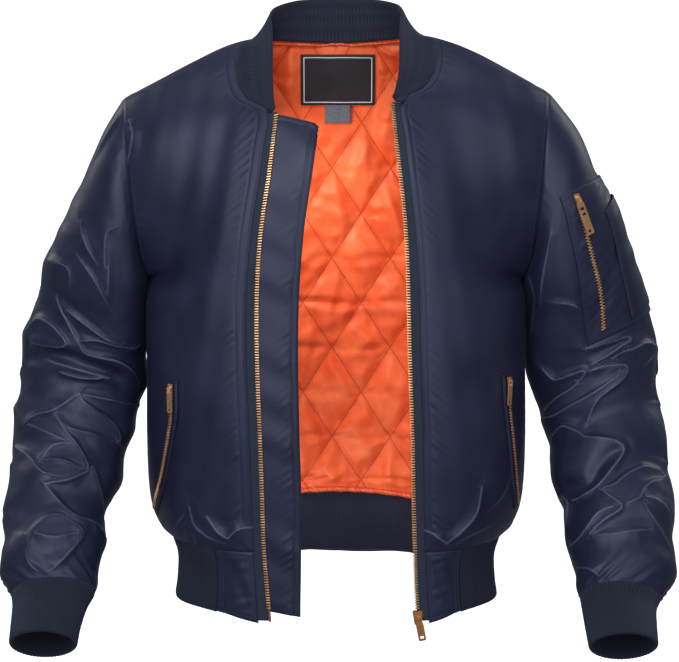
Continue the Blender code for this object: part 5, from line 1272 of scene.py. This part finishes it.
def tooth_row(name, node, chain, pitch, lift, shift=0.0, size=1.0, alternate=0.0):
    """Teeth along the middle of a chain's face; alternate moves every second one to the other side, and leans all."""
    middle = chain.at.shape[1] // 2
    line, across, normal = chain.at[:, middle], chain.at[:, 0] - chain.at[:, -1], chain.normal[:, middle]
    run = run_of(line)
    lean = 0.34 if alternate else 0.0
    placed = []
    for number, place in enumerate(np.arange(pitch / 2, run[-1] - pitch / 4, pitch)):
        at, out, up = (read(vectors, run, place) for vectors in (line, across, normal))
        up = unit(up)
        out = unit(out - up * (out @ up))
        side = -1.0 if alternate and number % 2 else 1.0
        ahead = out * side * math.cos(lean) + np.cross(up, out) * math.sin(lean)
        axes = np.stack([ahead, np.cross(up, ahead), up]) * size
        placed.append((axes, at + up * lift + out * (shift + alternate * side)))
    row = copies(name, tooth, tooth_faces, placed, gold_teeth)
    declare(row, node, slot="gold_metal")
    return row


for hand, name in SIDES:
    inner_x, outer_x = (0.097, 0.110) if hand > 0 else (-0.080, -0.093)
    corners = (inner_x, -0.118, -0.664), (outer_x, -0.116, -0.664)
    places = np.linspace(-0.92, 21, 246), np.linspace(-0.2, 1, 16)
    panel = grown("zip_tape_" + name, (0, -1, 0.05), *corners, *places)
    cut = flat_of(panel)
    ripples = 0.0002 * ripple(panel.up, 0.018, 131 + hand) * fade(panel.across, 0.002, 0.01)
    panel.push(0.0005 * bell(panel.across, 0.0011) + ripples)
    tape = sewn_panel("zip_tape_strip_" + name, panel, tape_finish, wall=0.0008, depth=0.0006)
    inner_x, outer_x = (0.092, 0.096) if hand > 0 else (-0.076, -0.080)
    corners = (inner_x, -0.120, -0.664), (outer_x, -0.119, -0.664)
    chain = grown("zip_chain_" + name, (0, -1, 0.05), *corners, np.linspace(-0.12, 21, 240), 3)
    row = tooth_row("zip_teeth_" + name, "zip_chain_" + name, chain, 0.0031, -0.0011, -0.0003)
    declare(tape, "zip_tape_" + name, slot="zip_tape", cut=cut, with_pieces=[row])
for node in ("main_slider", "main_pull", "zip_pin"):
    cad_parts[node].data.materials[0] = gold_slider

# ---------------------------------------------------------------------------
# Hand pockets: slanted zips set between two narrow nylon lips on each front;
# slider and pull are the CAD's solids, closed at the top of the zip.
pocket_corners = {
    "left": ((0.2115, -0.0520, -0.560), (0.218, -0.039, -0.553), (0.215, -0.050, -0.555), (0.217, -0.046, -0.552)),
    "right": ((-0.214, -0.042, -0.569), (-0.221, -0.032, -0.558), (-0.218, -0.042, -0.563), (-0.219, -0.039, -0.560)),
}
for hand, name in SIDES:
    look, corners = (hand * 0.5, -0.8, 0), pocket_corners[name]
    panel = grown("pocket_welt_" + name, look, *corners[:2], 120, 30)
    cut, share = flat_of(panel), panel.across / panel.width
    lips = bell(share - 0.16, 0.13) + bell(share - 0.84, 0.13)
    ends = np.minimum(panel.up, panel.height - panel.up)
    rolled = (0.0010 * lips - 0.0012 * (1 - np.minimum(lips, 1))) * fade(ends, 0.0, 0.006)
    panel.push(rolled + 0.0001 * ripple(panel.up, 0.012, 141))
    lip_piece = sewn_panel("pocket_lips_" + name, panel, nylon, wall=0.0008, depth=0.0016)
    chain = grown("pocket_chain_" + name, look, *corners[2:], 120, 5)
    row = tooth_row("pocket_teeth_" + name, "pocket_chain_" + name, chain, 0.0018, 0.0002, 0.0, 0.74, 0.0008)
    declare(lip_piece, "pocket_welt_" + name, slot="navy_nylon", cut=cut, with_pieces=[row])
    for node in ("pocket_slider_" + name, "pocket_pull_" + name):
        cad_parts[node].data.materials[0] = gold

# ---------------------------------------------------------------------------
# Sleeve pocket: a nylon patch on the wearer's left upper sleeve with a long zip
# down its front part, and a narrow pen pocket sewn on behind it.
cut, rim = flat_of(patch), patch.edge_gap()
patch.push(
    0.0004
    - 0.0006 * bell(rim, 0.0018)
    - 0.0004 * bell(rim - 0.005, 0.0012)
    + 0.0011 * fade(rim, 0.004, 0.02) * ripple(patch.up * 0.8 + patch.across, 0.043, 151)
    + 0.0004 * fade(rim, 0.004, 0.012) * ripple(patch.up + patch.across * 0.5, 0.014, 152)
)
piece = sewn_panel("sleeve_patch_panel", patch, nylon, wall=0.0008, depth=0.0014)
declare(piece, "sleeve_patch", slot="navy_nylon", cut=cut)

pen = grown("pen_pocket", (0.89, -0.36, 0.28), (0.319, -0.035, -0.206), (0.329, 0.028, -0.191), 60, 30)
cut, rim = flat_of(pen), pen.edge_gap()
pen.push(
    0.0007
    - 0.0005 * bell(rim, 0.0015)
    - 0.0003 * bell(rim - 0.004, 0.0011)
    + 0.0008 * fade(rim, 0.003, 0.012) * ripple(pen.up, 0.038, 161)
)
piece = sewn_panel("pen_pocket_panel", pen, nylon, wall=0.0008, depth=0.0010)
declare(piece, "pen_pocket", slot="navy_nylon", cut=cut)

chain = grown("sleeve_chain", (0.88, -0.39, 0.25), (0.314, -0.0425, -0.348), (0.318, -0.041, -0.347), 110, 3)
tooth_row("sleeve_teeth", "sleeve_chain", chain, 0.0019, 0.0005, 0.0, 0.82, 0.0008)
for node in ("sleeve_slider", "sleeve_pull"):
    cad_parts[node].data.materials[0] = gold

# ---------------------------------------------------------------------------
# Neck labels: a black woven satin label with a thin pale border and no words,
# and a plain grey size tab sewn under its lower edge.


def label_finish(name, ground, border=None):
    """Woven satin; border is the label's width and height, the border's distance from its edge, and its width."""
    cloth = Finish(name, Base_Color=ground, Roughness=0.5, Specular_IOR_Level=0.4, Sheen_Weight=0.1)
    place, (_, u, v) = cloth.place(), cloth.cloth_uv()
    threads, fuzz = u.wave(0.0006) * 0.5 + v.wave(0.0005) * 0.5, cloth.noise(place, 400.0, 2.0)
    lighter = tuple(min(1, c * 1.9 + 0.004) for c in ground)
    shade = cloth.mix((threads * 0.25 + fuzz).between(0.2, 0.9), ground, lighter)
    if border:
        wide, high, inset, line = border
        across = (u - wide / 2).size() - (wide / 2 - inset)
        over = (v - high / 2).size() - (high / 2 - inset)
        outside = across.math("MAXIMUM", across, over).size().between(line * 0.5, line * 0.5 + 0.0002)
        shade = cloth.mix(outside, (0.66, 0.72, 0.80), shade)
    normal = cloth.bump(threads + fuzz * 0.5, 0.3, 0.0002)
    return cloth.feed(Base_Color=shade, Roughness=fuzz * 0.2 + 0.40, Normal=normal)


label = grown("label_main", (0, -0.96, -0.28), (-0.043, 0.081, -0.081), (0.047, 0.081, -0.081), 40, 56)
cut = flat_of(label)
black = label_finish("black_label_satin", (0.0042, 0.0052, 0.0080), (*cut[0], 0.0035, 0.0009))
label.push(0.0012 + 0.0005 * ripple(label.across + 0.4 * label.up, 0.047, 171))
piece = sewn_panel("neck_label", label, black, wall=0.0006, depth=0.0006)
declare(piece, "label_main", slot="black_label", cut=cut)

points, faces = face_of("label_size", (0, -0.95, -0.31))
used = points[np.unique(faces)]
up_right, down_right = used[:, 0] + used[:, 2], used[:, 0] - used[:, 2]
low_left, high_right = used[np.argmin(up_right)], used[np.argmax(up_right)]
high_left, low_right = used[np.argmin(down_right)], used[np.argmax(down_right)]
tab = refined(np.array([[low_left, low_right], [high_left, high_right]]), 16, 20, (0, -0.95, -0.31))
cut = flat_of(tab)
tab.push(0.0014 + 0.0004 * ripple(tab.across, 0.02, 181))
grey = label_finish("grey_tab_weave", (0.075, 0.092, 0.115))
piece = sewn_panel("size_tab", tab, grey, wall=0.0006, depth=0.0006)
declare(piece, "label_size", slot="grey_label", cut=cut)

# ---------------------------------------------------------------------------
# Topstitching: matching navy thread in lockstitch, about 3 mm long, beside the
# zip, round the armholes, on the end panels, the flap and the sleeve pocket.
STITCH, STITCH_PITCH, THREAD = 0.0023, 0.0031, 0.00028  # a stitch's length, their spacing, the thread's radius
SPINDLE = np.array(
    [[-0.5, 0, 0]]
    + [[end * 0.28, math.cos(t), math.sin(t)] for end in (-1, 1) for t in (0, 1.571, 3.1416, 4.712)]
    + [[0.5, 0, 0]]
)
SPINDLE_FACES = [[0, 1 + (k + 1) % 4, 1 + k] for k in range(4)]
SPINDLE_FACES += [[1 + k, 1 + (k + 1) % 4, 5 + (k + 1) % 4, 5 + k] for k in range(4)]
SPINDLE_FACES += [[9, 5 + k, 5 + (k + 1) % 4] for k in range(4)]


def thread_finish(name, colour):
    thread = Finish(name, Base_Color=colour, Roughness=0.6, Specular_IOR_Level=0.3)
    twist = thread.noise(thread.place(), 1200.0, 1.0)
    return thread.feed(Base_Color=thread.mix(twist, colour, tuple(c * 1.5 for c in colour)))


navy_thread = thread_finish("navy_thread", (0.022, 0.026, 0.048))


def line_beside(panel, edge, distance):
    """Points and normals at that distance from one of the panel's edges."""
    lines, normals, runs = panel.at, panel.normal, panel.across
    if edge in ("first", "last"):
        lines, normals, runs = lines.transpose(1, 0, 2), normals.transpose(1, 0, 2), panel.up.T
    places = runs[:, -1] - distance if edge in ("last", "end") else np.full(len(runs), distance)
    return tuple(np.array([read(*row) for row in zip(values, runs, places)]) for values in (lines, normals))


def stitches(name, lines):
    """Short spindles of thread along lines on the cloth."""
    placed = []
    for line, normals in lines:
        run = run_of(line)
        for place in np.arange(STITCH_PITCH, run[-1] - STITCH_PITCH, STITCH_PITCH):
            at, up = read(line, run, place), read(normals, run, place)
            way = unit(read(line, run, place + 0.001) - at)
            up = unit(up - way * (up @ way))
            axes = np.stack([way * STITCH, np.cross(up, way) * THREAD, up * THREAD])
            placed.append((axes, at + up * THREAD * 0.35))
    declare(copies(name, SPINDLE, SPINDLE_FACES, placed, navy_thread), slot="navy_nylon")


def above_armpit(line, normals):
    upper = line[:, 2] > -0.27
    return line[upper], normals[upper]


stitches(
    "front_topstitching",
    [line_beside(front_shell[name], "start", d) for name in ("left", "right") for d in stitch_from_zip[name]],
)
armholes = []
for _, name in SIDES:
    armholes.append(above_armpit(*line_beside(front_shell[name], "end", 0.0055)))
    armholes.append(line_beside(front_shell[name], "last", 0.0045))
    armholes.append(line_beside(sleeve_shell[name], "last", 0.0050))
armholes += [above_armpit(*line_beside(half, "end", 0.0055)) for half in back_halves]
stitches("armhole_topstitching", armholes)
ends = [line_beside(end_panels[name], edge, 0.005) for _, name in SIDES for edge in ("start", "end", "first", "last")]
stitches("panel_topstitching", ends + [line_beside(flap, edge, 0.0062) for edge in ("end", "last")])
pockets = [line_beside(patch, edge, d) for edge in ("start", "end", "first", "last") for d in (0.0018, 0.0055)]
stitches("pocket_topstitching", pockets + [line_beside(pen, edge, 0.002) for edge in ("start", "end", "first")])
